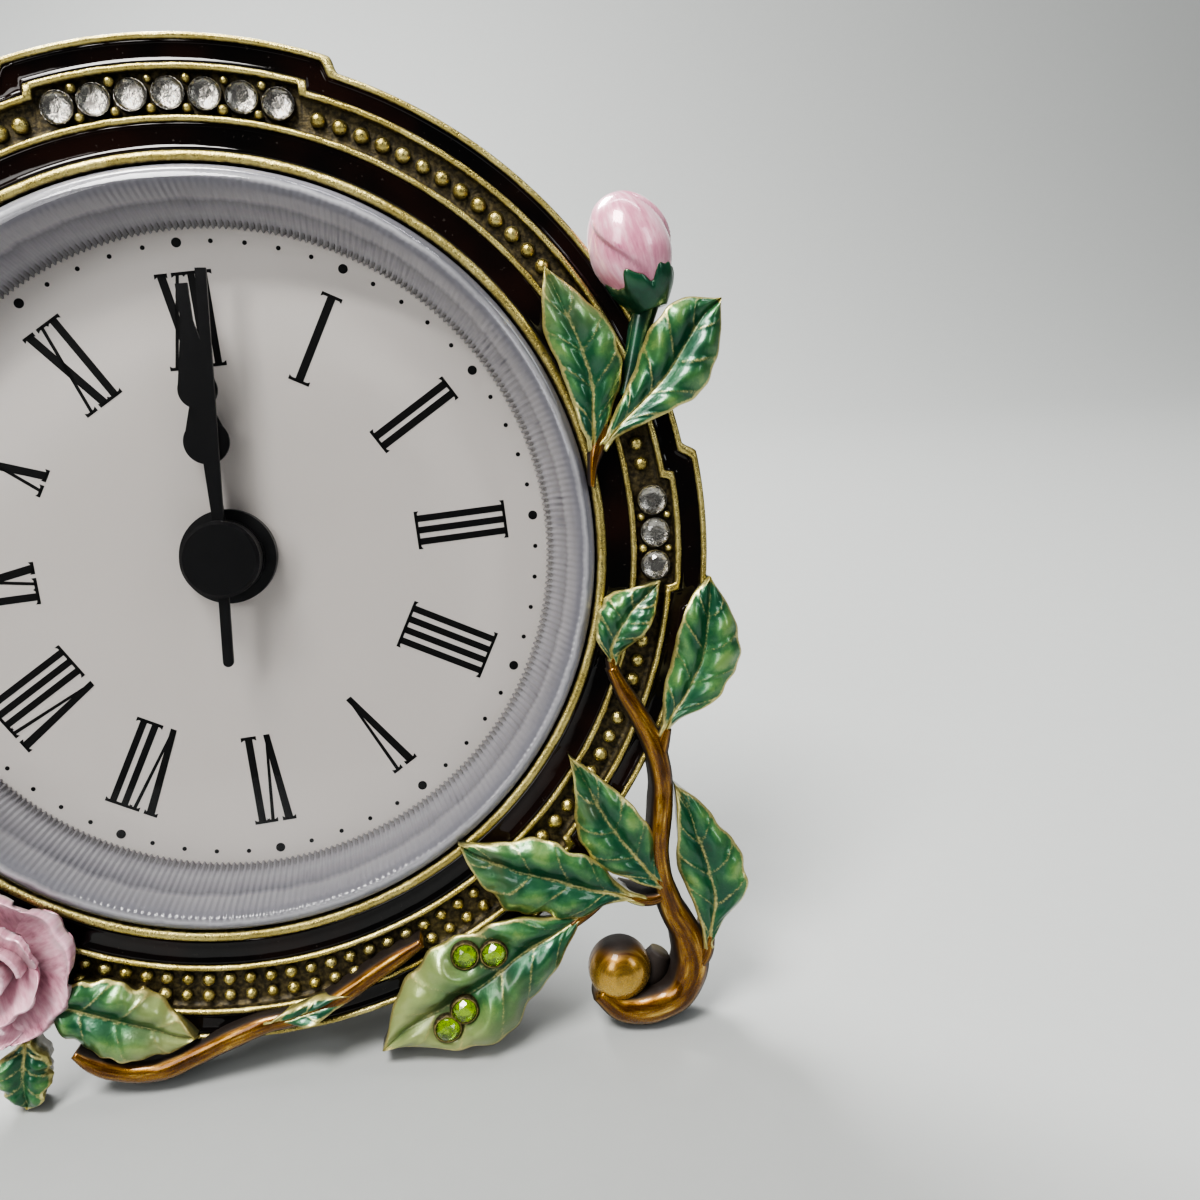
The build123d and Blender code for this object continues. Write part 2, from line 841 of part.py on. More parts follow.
# The rose: five petals round a rolled heart
rose_shares = (-0.505, -0.800)
rose_place = (rose_shares[0] * frame_radius, rose_shares[1] * frame_radius)
petal_count = 5
petal_start_angle = 26
petal_shares = ((0.2, 0.3, 0.55), (0.5, 0.56, 0.42), (0.8, 0.6, 0.66), (1.0, 0.3, 0.36))
heart_sides = 8
heart_shares = ((0.46, -0.4), (0.44, 0.55), (0.28, 1.0))
heart_hollow_shares = ((0.12, 0.55), (0.2, 1.0))


def petal(angle):
    """One petal: it dips, and its lip curls up before its end. Shares: along, half width, height."""
    place = Vector(*rose_place)
    turn = math.radians(angle)
    ahead = Vector(math.cos(turn), math.sin(turn))
    with BuildPart() as blade:
        for along, half_share, height_share in petal_shares:
            point = place + ahead * (along * rose_radius)
            half = half_share * rose_radius
            top = rim_height + height_share * rose_height
            shoulder = top - petal_slope * half / 2
            outline = [
                (half, relief_back),
                (half, shoulder),
                (half / 2, top),
                (-half / 2, top),
                (-half, shoulder),
                (-half, relief_back),
            ]
            with BuildSketch(cross_plane(point.X, point.Y, angle)):
                with BuildLine():
                    Polyline(*outline, close=True)
                make_face()
        loft(ruled=True)
    return blade.part


def rose_heart(shares):
    """A many-sided body on the rose's middle, from shares of its radius and height."""
    with BuildPart() as body:
        for out, up in shares:
            with BuildSketch(face.offset(rim_height + up * rose_height)):
                with Locations(rose_place):
                    RegularPolygon(out * rose_radius, heart_sides)
        loft(ruled=True)
    return body.part


with BuildPart() as rose:
    for step in range(petal_count):
        add(petal(petal_start_angle + step * 360 / petal_count))
    add(rose_heart(heart_shares))
    add(rose_heart(heart_hollow_shares), mode=Mode.SUBTRACT)
    add(ring_space.part, mode=Mode.SUBTRACT)

rose.part.label = "rose"
export_step(rose.part, "parts/rose.step")

with BuildPart() as rose_right_leaf:
    add(leaf("rose_right_leaf"))
    add(ring_space.part, mode=Mode.SUBTRACT)
    add(rose.part, mode=Mode.SUBTRACT)
    add(bottom_vine.part, mode=Mode.SUBTRACT)

rose_right_leaf.part.label = "rose_right_leaf"
export_step(rose_right_leaf.part, "parts/rose_right_leaf.step")

with BuildPart() as rose_lower_leaf:
    add(leaf("rose_lower_leaf"))
    add(ring_space.part, mode=Mode.SUBTRACT)
    add(rose.part, mode=Mode.SUBTRACT)
    split(bisect_by=Plane.XY, keep=Keep.TOP)

rose_lower_leaf.part.label = "rose_lower_leaf"
export_step(rose_lower_leaf.part, "parts/rose_lower_leaf.step")

# The easel leg: a cranked strap on a rolled knuckle, drawn open and cut level at the table
leg_slope = math.radians(leg_opening - lean)
leg_reach = (pin_point.Z + leg_crank * math.sin(leg_slope)) / math.cos(leg_slope) + leg_thickness
leg_half = leg_thickness / 2
crank_back = leg_crank + leg_half
crank_front = leg_crank - leg_half

with BuildPart() as easel_leg:
    with BuildSketch(leg_plane.offset(-leg_width / 2)):
        Circle(knuckle_radius)
        with BuildLine():
            Polyline(
                (leg_half, 0),
                (leg_half, -crank_back),
                (-leg_reach, -crank_back),
                (-leg_reach, -crank_front),
                (-leg_half, -crank_front),
                (-leg_half, 0),
                close=True,
            )
        make_face()
        Circle(pin_radius + pin_clearance, mode=Mode.SUBTRACT)
    extrude(amount=leg_width)
    # The strap narrows from its crank to its foot
    strap_plane = Plane(
        origin=leg_plane.from_local_coords((0, -crank_back, 0)),
        x_dir=leg_plane.z_dir,
        z_dir=-leg_plane.y_dir,
    )
    with BuildSketch(strap_plane):
        for side in (-1, 1):
            with BuildLine():
                Polyline(
                    (side * leg_width / 2, leg_crank),
                    (side * leg_foot_width / 2, leg_reach),
                    (side * leg_width, leg_reach),
                    (side * leg_width, leg_crank),
                    close=True,
                )
            make_face()
    extrude(amount=-leg_thickness, mode=Mode.SUBTRACT)
    split(bisect_by=Plane.XY, keep=Keep.TOP)

easel_leg.part.label = "easel_leg"
export_step(easel_leg.part, "parts/easel_leg.step")

# The clock insert. Its crystal drops into the ring from the front and seats on the ledge.
lens_front_level = rim_height + lens_proud
lens_inner_level = lens_front_level - lens_front
lens_inner_radius = lens_radius - lens_wall
shoulder_step = lens_shoulder * (1 - math.sqrt(0.5))

with BuildPart() as crystal:
    with BuildSketch(face_side):
        with BuildLine():
            Polyline(
                (lens_radius, ledge_front),
                (lens_radius, lens_front_level - lens_shoulder),
                (lens_radius - shoulder_step, lens_front_level - shoulder_step),
                (lens_radius - lens_shoulder, lens_front_level),
                (0, lens_front_level),
                (0, lens_inner_level),
                (lens_inner_radius, lens_inner_level),
                (lens_radius - lens_foot_width, play),
                (lens_inner_radius, play),
                (lens_inner_radius, ledge_front),
                close=True,
            )
        make_face()
    revolve(axis=dial_axis)

crystal.part.label = "crystal"
export_step(crystal.part, "parts/crystal.step")

with BuildPart() as dial:
    with BuildSketch(insert_face.offset(flange_front)):
        Circle(dial_radius)
        Circle(neck_radius + play, mode=Mode.SUBTRACT)
    extrude(amount=dial_thickness)

dial.part.label = "dial"
export_step(dial.part, "parts/dial.step")

# Where the movement's axes stand, from the middle of the dial
hour_pipe_bore = cannon_radius + running_gap
neck_bore = hour_pipe_radius + running_gap
motion_distance = motion_module * (cannon_teeth + reversing_teeth) / 2
third_distance = third_module * (pinion_teeth + third_teeth) / 2
step_distance = seconds_train_module * (pinion_teeth + seconds_teeth) / 2
rotor_distance = rotor_train_module * (pinion_teeth + step_teeth) / 2
reversing_place = polar(motion_distance, motion_angle)
setting_place = polar(2 * motion_distance, motion_angle)
third_place = polar(third_distance, third_angle)
step_place = polar(step_distance, step_angle)
rotor_place = polar(step_distance + rotor_distance, step_angle)
cell_pocket_radius = cell_radius + cell_gap

# Bosses in the tub take the screws of the back cover
screw_places = [polar(tub_bore - boss_radius / 2, angle) for angle in screw_angles]

with BuildPart() as insert_housing:
    with BuildSketch(insert_face.offset(flange_back)):
        Circle(dial_radius)
    extrude(amount=flange_skirt)
    with BuildSketch(insert_face.offset(cover_front)):
        Circle(tub_radius)
    extrude(amount=plate_back - cover_front)
    with BuildSketch(insert_face.offset(cover_front)):
        Circle(tub_bore)
    extrude(amount=plate_back - cover_front, mode=Mode.SUBTRACT)
    with BuildSketch(insert_face.offset(flange_front)):
        Circle(neck_radius)
    extrude(amount=dial_thickness + neck_height)
    with BuildSketch(insert_face.offset(cover_front)):
        with Locations(*screw_places):
            Circle(boss_radius)
        Circle(tub_radius, mode=Mode.INTERSECT)
    extrude(amount=plate_back - cover_front)
    with BuildSketch(insert_face.offset(cover_front)):
        with Locations(*screw_places):
            Circle(screw_radius)
    extrude(amount=screw_length, mode=Mode.SUBTRACT)
    with BuildSketch(insert_face.offset(plate_back)):
        Circle(neck_bore)
    extrude(amount=flange_thickness + dial_thickness + neck_height, mode=Mode.SUBTRACT)
    with BuildSketch(insert_face.offset(reversing_layer)):
        with Locations(reversing_place):
            Circle(stud_radius)
    extrude(amount=plate_back - reversing_layer)
    with BuildSketch(insert_face.offset(plate_back)):
        with Locations(third_place):
            Circle(arbor_radius + running_gap)
        with Locations(setting_place):
            Circle(setting_shaft_radius + running_gap)
    extrude(amount=pivot_depth + play, mode=Mode.SUBTRACT)

insert_housing.part.label = "insert_housing"
export_step(insert_housing.part, "parts/insert_housing.step")

with BuildPart() as fixing_nut:
    with BuildSketch(insert_face):
        Circle(nut_radius)
        Circle(neck_radius + play, mode=Mode.SUBTRACT)
    extrude(amount=nut_height)

fixing_nut.part.label = "fixing_nut"
export_step(fixing_nut.part, "parts/fixing_nut.step")


def gear(teeth, module, tooth_angle=0):
    """A toothed outline with flat-sided teeth, one of them pointing at the given angle."""
    pitch_radius = module * teeth / 2
    tip = pitch_radius + addendum_share * module
    root = pitch_radius - dedendum_share * module
    pitch_angle = 360 / teeth
    points = []
    for tooth in range(teeth):
        middle = tooth_angle + tooth * pitch_angle
        points.append(polar(root, middle - tooth_root_share * pitch_angle))
        points.append(polar(tip, middle - tooth_tip_share * pitch_angle))
        points.append(polar(tip, middle + tooth_tip_share * pitch_angle))
        points.append(polar(root, middle + tooth_root_share * pitch_angle))
    with BuildSketch() as outline:
        with BuildLine():
            Polyline(*points, close=True)
        make_face()
    return outline.sketch


def disc(radius):
    """A round outline."""
    with BuildSketch() as outline:
        Circle(radius)
    return outline.sketch


def turned_piece(place, steps, bore=0):
    """Toothed and round steps on one axis of the movement: each is from, to and an outline."""
    lowest = min(step[0] for step in steps)
    highest = max(step[1] for step in steps)
    with BuildPart() as piece:
        for low, high, outline in steps:
            with BuildSketch(insert_face.offset(low)):
                with Locations(place):
                    add(outline)
            extrude(amount=high - low)
        if bore > 0:
            with BuildSketch(insert_face.offset(lowest)):
                with Locations(place):
                    Circle(bore)
            extrude(amount=highest - lowest, mode=Mode.SUBTRACT)
    return piece.part


def facing(angle, teeth):
    """The tooth angle that puts a gap of a wheel opposite a tooth that points at it."""
    return angle + 180 + 180 / teeth


centre_place = (0, 0)
arbor_back = cover_front - pivot_depth
short_arbor_front = middle_plate_layer + pivot_depth
long_arbor_front = plate_back + pivot_depth
hour_hub_top = hour_hand_level + hub_height
minute_hub_top = minute_hand_level + hub_height
second_hub_top = second_hand_level + cap_height

# The seconds arbor runs right through the pipes, from the back cover to the second hand
with BuildPart() as seconds_wheel:
    add(
        turned_piece(
            centre_place,
            [
                (arbor_back, second_hand_level + hand_thickness, disc(second_arbor_radius)),
                (
                    seconds_layer,
                    seconds_layer + wheel_thickness,
                    gear(seconds_teeth, seconds_train_module, step_angle),
                ),
                (
                    third_layer,
                    third_layer + wheel_thickness,
                    gear(pinion_teeth, third_module, third_angle),
                ),
            ],
        )
    )

seconds_wheel.part.label = "seconds_wheel"
export_step(seconds_wheel.part, "parts/seconds_wheel.step")

with BuildPart() as third_wheel:
    add(
        turned_piece(
            third_place,
            [
                (arbor_back, long_arbor_front, disc(arbor_radius)),
                (
                    third_layer,
                    third_layer + wheel_thickness,
                    gear(third_teeth, third_module, facing(third_angle, third_teeth)),
                ),
                (
                    centre_layer,
                    centre_layer + wheel_thickness,
                    gear(pinion_teeth, centre_module, third_angle + 180),
                ),
            ],
        )
    )

third_wheel.part.label = "third_wheel"
export_step(third_wheel.part, "parts/third_wheel.step")

with BuildPart() as centre_wheel:
    add(
        turned_piece(
            centre_place,
            [
                (
                    centre_layer,
                    centre_layer + wheel_thickness,
                    gear(centre_teeth, centre_module, facing(third_angle + 180, centre_teeth)),
                ),
            ],
            cannon_radius + running_gap,
        )
    )

centre_wheel.part.label = "centre_wheel"
export_step(centre_wheel.part, "parts/centre_wheel.step")

with BuildPart() as step_wheel:
    add(
        turned_piece(
            step_place,
            [
                (arbor_back, short_arbor_front, disc(arbor_radius)),
                (
                    seconds_layer,
                    seconds_layer + wheel_thickness,
                    gear(pinion_teeth, seconds_train_module, facing(step_angle, pinion_teeth)),
                ),
                (
                    step_layer,
                    step_layer + wheel_thickness,
                    gear(step_teeth, rotor_train_module, step_angle),
                ),
            ],
        )
    )

step_wheel.part.label = "step_wheel"
export_step(step_wheel.part, "parts/step_wheel.step")

with BuildPart() as rotor:
    add(
        turned_piece(
            rotor_place,
            [
                (arbor_back, short_arbor_front, disc(arbor_radius)),
                (
                    step_layer,
                    step_layer + wheel_thickness,
                    gear(pinion_teeth, rotor_train_module, facing(step_angle, pinion_teeth)),
                ),
                (
                    stator_layer - play,
                    stator_layer - play + magnet_thickness,
                    disc(magnet_radius),
                ),
            ],
        )
    )

rotor.part.label = "rotor"
export_step(rotor.part, "parts/rotor.step")

with BuildPart() as cannon_pinion:
    add(
        turned_piece(
            centre_place,
            [
                (
                    centre_layer - play,
                    minute_hub_top - hub_height / 2,
                    disc(cannon_radius),
                ),
                (
                    reversing_layer,
                    reversing_layer + wheel_thickness,
                    gear(cannon_teeth, motion_module, motion_angle),
                ),
            ],
            second_arbor_radius + running_gap,
        )
    )

cannon_pinion.part.label = "cannon_pinion"
export_step(cannon_pinion.part, "parts/cannon_pinion.step")

with BuildPart() as reversing_wheel:
    add(
        turned_piece(
            reversing_place,
            [
                (
                    reversing_layer,
                    reversing_layer + wheel_thickness,
                    gear(reversing_teeth, motion_module, facing(motion_angle, reversing_teeth)),
                ),
                (
                    reversing_layer + wheel_thickness,
                    hour_layer + wheel_thickness,
                    gear(pinion_teeth, hour_module, motion_angle + 180),
                ),
            ],
            stud_radius + running_gap,
        )
    )

reversing_wheel.part.label = "reversing_wheel"
export_step(reversing_wheel.part, "parts/reversing_wheel.step")

with BuildPart() as hour_wheel:
    add(
        turned_piece(
            centre_place,
            [
                (hour_layer, hour_hub_top - hub_height / 2, disc(hour_pipe_radius)),
                (
                    hour_layer,
                    hour_layer + wheel_thickness,
                    gear(hour_teeth, hour_module, facing(motion_angle + 180, hour_teeth)),
                ),
            ],
            hour_pipe_bore,
        )
    )

hour_wheel.part.label = "hour_wheel"
export_step(hour_wheel.part, "parts/hour_wheel.step")

knob_front = cover_back - layer_gap
with BuildPart() as setting_knob:
    add(
        turned_piece(
            setting_place,
            [
                (knob_front, long_arbor_front, disc(setting_shaft_radius)),
                (
                    reversing_layer,
                    reversing_layer + wheel_thickness,
                    gear(cannon_teeth, motion_module, motion_angle + 180),
                ),
                (knob_front - knob_height, knob_front, disc(knob_radius)),
            ],
        )
    )

setting_knob.part.label = "setting_knob"
export_step(setting_knob.part, "parts/setting_knob.step")


def bar(across, along, levels):
    """A straight-sided block of the insert, from its limits."""
    with BuildPart() as piece:
        with BuildSketch(insert_face.offset(levels[0])):
            with Locations((sum(across) / 2, sum(along) / 2)):
                Rectangle(across[1] - across[0], along[1] - along[0])
        extrude(amount=levels[1] - levels[0])
    return piece.part


# The stator lies on the back cover's side, its two arms meet the ends of the coil's core
stator_front = stator_layer + wheel_thickness
stator_hole = magnet_radius + air_gap
arm_half = stator_arm / 2
core_across = (coil_distance - core_width / 2, coil_distance + core_width / 2)
core_along = (core_foot, rotor_place[1] + arm_half)
core_levels = (stator_front, stator_front + core_thickness)
stator_levels = (stator_layer, stator_front)
foot_along = (core_foot, core_foot + stator_arm)
arm_across = (rotor_place[0] - arm_half, rotor_place[0] + arm_half)
limb_across = (rotor_place[0] - arm_half, core_across[1])

with BuildPart() as stator:
    with BuildSketch(insert_face.offset(stator_layer)):
        with Locations(rotor_place):
            Circle(stator_hole + stator_wall)
    extrude(amount=wheel_thickness)
    add(bar(limb_across, (rotor_place[1] - arm_half, rotor_place[1] + arm_half), stator_levels))
    add(bar(arm_across, (core_foot, rotor_place[1]), stator_levels))
    add(bar(limb_across, foot_along, stator_levels))
    with BuildSketch(insert_face.offset(stator_layer)):
        with Locations(rotor_place):
            Circle(stator_hole)
    extrude(amount=wheel_thickness, mode=Mode.SUBTRACT)

stator.part.label = "stator"
export_step(stator.part, "parts/stator.step")

with BuildPart() as coil_core:
    add(bar(core_across, core_along, core_levels))

coil_core.part.label = "coil_core"
export_step(coil_core.part, "parts/coil_core.step")

coil_level = stator_front + core_thickness / 2
sleeve_half = core_width / 2 + bobbin_wall
sleeve_rise = core_thickness / 2 + bobbin_wall
bobbin_across = (coil_distance - bobbin_width / 2, coil_distance + bobbin_width / 2)
bobbin_levels = (coil_level - bobbin_height / 2, coil_level + bobbin_height / 2)
sleeve_across = (coil_distance - sleeve_half, coil_distance + sleeve_half)
sleeve_levels = (coil_level - sleeve_rise, coil_level + sleeve_rise)

with BuildPart() as coil_bobbin:
    add(bar(bobbin_across, (coil_foot, coil_foot + bobbin_wall), bobbin_levels))
    add(bar(bobbin_across, (coil_head - bobbin_wall, coil_head), bobbin_levels))
    add(bar(sleeve_across, (coil_foot, coil_head), sleeve_levels))
    add(bar(core_across, (coil_foot, coil_head), core_levels), mode=Mode.SUBTRACT)

coil_bobbin.part.label = "coil_bobbin"
export_step(coil_bobbin.part, "parts/coil_bobbin.step")

winding_along = (coil_foot + bobbin_wall, coil_head - bobbin_wall)
winding_across = (bobbin_across[0] + winding_margin, bobbin_across[1] - winding_margin)
winding_levels = (bobbin_levels[0] + winding_margin, bobbin_levels[1] - winding_margin)

with BuildPart() as coil_winding:
    add(bar(winding_across, winding_along, winding_levels))
    add(bar(sleeve_across, winding_along, sleeve_levels), mode=Mode.SUBTRACT)

coil_winding.part.label = "coil_winding"
export_step(coil_winding.part, "parts/coil_winding.step")

board_front = stator_layer + board_thickness
board_right = board_left + board_length
board_top = board_bottom + board_width
chip_place = (board_right - can_margin - chip_radius, board_bottom + can_margin + chip_radius / 2)

with BuildPart() as circuit_board:
    add(bar((board_left, board_right), (board_bottom, board_top), (stator_layer, board_front)))
    with BuildSketch(insert_face.offset(board_front)):
        with Locations(chip_place):
            Circle(chip_radius)
    extrude(amount=chip_height)

circuit_board.part.label = "circuit_board"
export_step(circuit_board.part, "parts/circuit_board.step")

can_plane = Plane(
    origin=insert_face.from_local_coords(
        (board_left + can_margin, board_top - can_margin, board_front + can_radius)
    ),
    x_dir=insert_face.z_dir,
    z_dir=insert_face.x_dir,
)

with BuildPart() as quartz_can:
    with BuildSketch(can_plane):
        Circle(can_radius)
    extrude(amount=can_length)

quartz_can.part.label = "quartz_can"
export_step(quartz_can.part, "parts/quartz_can.step")

# The middle plate carries the front pivots of the small arbors, and posts to its neighbours
middle_plate_front = middle_plate_layer + wheel_thickness
front_posts = [polar(tub_bore - front_post_inset, angle) for angle in front_post_angles]
stator_posts = (
    (core_across[0] - arm_half, rotor_place[1]),
    (rotor_place[0], core_foot + arm_half),
)
board_posts = (
    (board_left + arm_half, board_bottom + arm_half),
    (board_right - arm_half, board_top - arm_half),
)

with BuildPart() as middle_plate:
    with BuildSketch(insert_face.offset(middle_plate_layer)):
        Circle(tub_bore - plate_rim_gap)
        with Locations(*screw_places):
            Circle(boss_radius + plate_rim_gap, mode=Mode.SUBTRACT)
        with Locations(cell_place):
            Circle(cell_pocket_radius, mode=Mode.SUBTRACT)
        with Locations(third_place, step_place, rotor_place):
            Circle(arbor_radius + running_gap, mode=Mode.SUBTRACT)
        with Locations(setting_place):
            Circle(setting_shaft_radius + running_gap, mode=Mode.SUBTRACT)
        Circle(second_arbor_radius + running_gap, mode=Mode.SUBTRACT)
    extrude(amount=wheel_thickness)
    with BuildSketch(insert_face.offset(middle_plate_front)):
        with Locations(*front_posts):
            RegularPolygon(post_radius, post_sides)
    extrude(amount=plate_back - middle_plate_front)
    with BuildSketch(insert_face.offset(middle_plate_layer)):
        with Locations(*stator_posts):
            RegularPolygon(post_radius, post_sides)
    extrude(amount=stator_front - middle_plate_layer)
    with BuildSketch(insert_face.offset(middle_plate_layer)):
        with Locations(*board_posts):
            RegularPolygon(post_radius, post_sides)
    extrude(amount=board_front - middle_plate_layer)

middle_plate.part.label = "middle_plate"
export_step(middle_plate.part, "parts/middle_plate.step")

cell_front = middle_plate_front - play
with BuildPart() as button_cell:
    with BuildSketch(insert_face.offset(cell_front - cell_height)):
        with Locations(cell_place):
            Circle(cell_radius)
    extrude(amount=cell_height - contact_thickness)
    with BuildSketch(insert_face.offset(cell_front - contact_thickness)):
        with Locations(cell_place):
            Circle(cell_radius - cell_step)
    extrude(amount=contact_thickness)

button_cell.part.label = "button_cell"
export_step(button_cell.part, "parts/button_cell.step")

# Two contact leaves: one across the front of the cell, one beside its wall
contact_half = contact_width / 2
leaf_reach = cell_pocket_radius + contact_width
front_leaf_along = (cell_place[1] - contact_half, cell_place[1] + contact_half)
side_leaf_foot = cell_place[1] + cell_radius + play
side_leaf_along = (side_leaf_foot, side_leaf_foot + contact_thickness)
side_leaf_across = (cell_place[0] - contact_half, cell_place[0] + contact_half)
tab_along = (side_leaf_foot, side_leaf_foot + contact_width)

with BuildPart() as cell_contacts:
    add(
        bar(
            (cell_place[0] - contact_half, cell_place[0] + leaf_reach),
            front_leaf_along,
            (middle_plate_front, middle_plate_front + contact_thickness),
        )
    )
    add(
        bar(
            side_leaf_across,
            side_leaf_along,
            (cover_front + layer_gap, middle_plate_layer),
        )
    )
    add(
        bar(
            side_leaf_across,
            tab_along,
            (middle_plate_layer - contact_thickness, middle_plate_layer),
        )
    )

cell_contacts.part.label = "cell_contacts"
export_step(cell_contacts.part, "parts/cell_contacts.step")

# The battery door slides out to the left in two grooves of the back cover
door_end = cell_place[0] + cell_pocket_radius
door_half = cell_pocket_radius + rail_width
door_limits = (-tub_radius, door_end)
door_along = (cell_place[1] - door_half, cell_place[1] + door_half)
rail_along = (door_along[0] - rail_width, door_along[1] + rail_width)
door_levels = (cover_back, cover_back + door_thickness)
rail_levels = (door_levels[1] - rail_thickness, door_levels[1])
recess_limits = (-tub_radius, door_end + door_gap)
recess_along = (door_along[0] - door_gap, door_along[1] + door_gap)
groove_along = (rail_along[0] - door_gap, rail_along[1] + door_gap)
groove_levels = (rail_levels[0] - door_gap, rail_levels[1] + door_gap)

with BuildPart() as back_cover:
    with BuildSketch(insert_face.offset(cover_back)):
        Circle(tub_radius)
        with Locations(*screw_places):
            Circle(screw_radius, mode=Mode.SUBTRACT)
        with Locations(setting_place):
            Circle(setting_shaft_radius + running_gap, mode=Mode.SUBTRACT)
        with Locations(cell_place):
            Circle(cell_pocket_radius, mode=Mode.SUBTRACT)
    extrude(amount=cover_thickness)
    with BuildSketch(insert_face.offset(cover_front)):
        with Locations(third_place, step_place, rotor_place):
            Circle(arbor_radius + running_gap)
        Circle(second_arbor_radius + running_gap)
    extrude(amount=-pivot_depth - play, mode=Mode.SUBTRACT)
    add(bar(recess_limits, recess_along, (cover_back, groove_levels[1])), mode=Mode.SUBTRACT)
    add(bar(recess_limits, groove_along, groove_levels), mode=Mode.SUBTRACT)

back_cover.part.label = "back_cover"
export_step(back_cover.part, "parts/back_cover.step")

grip_first = -tub_radius + 2 * grip_pitch
with BuildPart() as battery_door:
    add(bar(door_limits, door_along, door_levels))
    add(bar(door_limits, rail_along, rail_levels))
    with BuildSketch(insert_face.offset(cover_back)):
        Circle(tub_radius - door_gap)
    extrude(amount=door_thickness, mode=Mode.INTERSECT)
    for rib in range(grip_count):
        rib_place = grip_first + (rib + 1) * grip_pitch
        add(
            bar(
                (rib_place, rib_place + grip_width),
                (cell_place[1] - grip_length / 2, cell_place[1] + grip_length / 2),
                (cover_back - grip_height, cover_back),
            )
        )

battery_door.part.label = "battery_door"
export_step(battery_door.part, "parts/battery_door.step")

with BuildPart() as case_screws:
    with BuildSketch(insert_face.offset(cover_back)):
        with Locations(*screw_places):
            Circle(screw_radius)
    extrude(amount=cover_thickness + screw_length - play)
    with BuildSketch(insert_face.offset(cover_back)):
        with Locations(*screw_places):
            Circle(screw_head_radius)
    extrude(amount=-screw_head_height)
    with BuildSketch(insert_face.offset(cover_back - screw_head_height)):
        with Locations(*screw_places):
            Rectangle(2 * screw_head_radius, slot_width)
    extrude(amount=screw_head_height / 2, mode=Mode.SUBTRACT)

case_screws.part.label = "case_screws"
export_step(case_screws.part, "parts/case_screws.step")


def hand_blade(reach, width, swelling_shares):
    """A hand that swells into a drop, its round end towards the hub."""
    centre = swelling_shares[0] * reach
    taper_end = swelling_shares[1] * reach
    half = width / 2
    tip = hand_tip_width / 2
    with BuildSketch() as blade:
        with Locations((0, centre)):
            Circle(half)
        with BuildLine():
            Polyline(
                (half, centre),
                (tip, taper_end),
                (tip, reach),
                (-tip, reach),
                (-tip, taper_end),
                (-half, centre),
                close=True,
            )
        make_face()
        with Locations((0, centre / 2)):
            Rectangle(hand_stem_width, centre)
    return blade.sketch


with BuildPart() as hour_hand:
    with BuildSketch(insert_face.offset(hour_hand_level)):
        Circle(hub_radius)
    extrude(amount=hub_height)
    with BuildSketch(insert_face.offset(hour_hand_level)):
        add(hand_blade(hour_hand_reach, hour_swelling_width, hour_swelling_shares))
    extrude(amount=hand_thickness)
    with BuildSketch(insert_face.offset(hour_hand_level)):
        Circle(hour_pipe_radius)
    extrude(amount=hub_height / 2, mode=Mode.SUBTRACT)
    with BuildSketch(insert_face.offset(hour_hand_level)):
        Circle(cannon_radius + bore_relief)
    extrude(amount=hub_height, mode=Mode.SUBTRACT)

hour_hand.part.label = "hour_hand"
export_step(hour_hand.part, "parts/hour_hand.step")

minute_plane = turned(insert_face.offset(minute_hand_level), -minute_hand_turn)
with BuildPart() as minute_hand:
    with BuildSketch(minute_plane):
        Circle(hub_radius)
    extrude(amount=hub_height)
    with BuildSketch(minute_plane):
        add(hand_blade(minute_hand_reach, minute_swelling_width, minute_swelling_shares))
    extrude(amount=hand_thickness)
    with BuildSketch(minute_plane):
        Circle(cannon_radius)
    extrude(amount=hub_height / 2, mode=Mode.SUBTRACT)
    with BuildSketch(minute_plane):
        Circle(second_arbor_radius + bore_relief)
    extrude(amount=hub_height, mode=Mode.SUBTRACT)

minute_hand.part.label = "minute_hand"
export_step(minute_hand.part, "parts/minute_hand.step")

second_plane = turned(insert_face.offset(second_hand_level), -second_hand_turn)
with BuildPart() as second_hand:
    with BuildSketch(second_plane):
        Circle(hub_radius + play)
    extrude(amount=cap_height)
    chamfer(second_hand.faces().sort_by(dial_axis)[-1].edges(), cap_chamfer)
    with BuildSketch(second_plane):
        with Locations((0, (second_hand_reach - second_hand_tail) / 2)):
            Rectangle(hand_stem_width, second_hand_reach + second_hand_tail)
        with Locations((0, -second_hand_tail)):
            Circle(hand_stem_width / 2)
    extrude(amount=hand_thickness)
    with BuildSketch(second_plane):
        Circle(second_arbor_radius)
    extrude(amount=hand_thickness, mode=Mode.SUBTRACT)

second_hand.part.label = "second_hand"
export_step(second_hand.part, "parts/second_hand.step")
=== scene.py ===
# %% [markdown]
# # A jewelled pendulette
#
# The clock is already built in CAD: a cast ring with leaves, vines, a bud and a rose, a quartz
# insert, and an easel leg. The CAD solids have the right places and plain surfaces. This lesson
# gives them the looks: soft castings, worn gilding, poured enamel, foiled stones and a clear
# crystal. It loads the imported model, then builds each visible piece in the same frame, so nothing
# has to be fitted by eye.

# %% Load the frame
import json
import math

import bmesh
import bpy
import numpy as np
from mathutils import Matrix, Vector

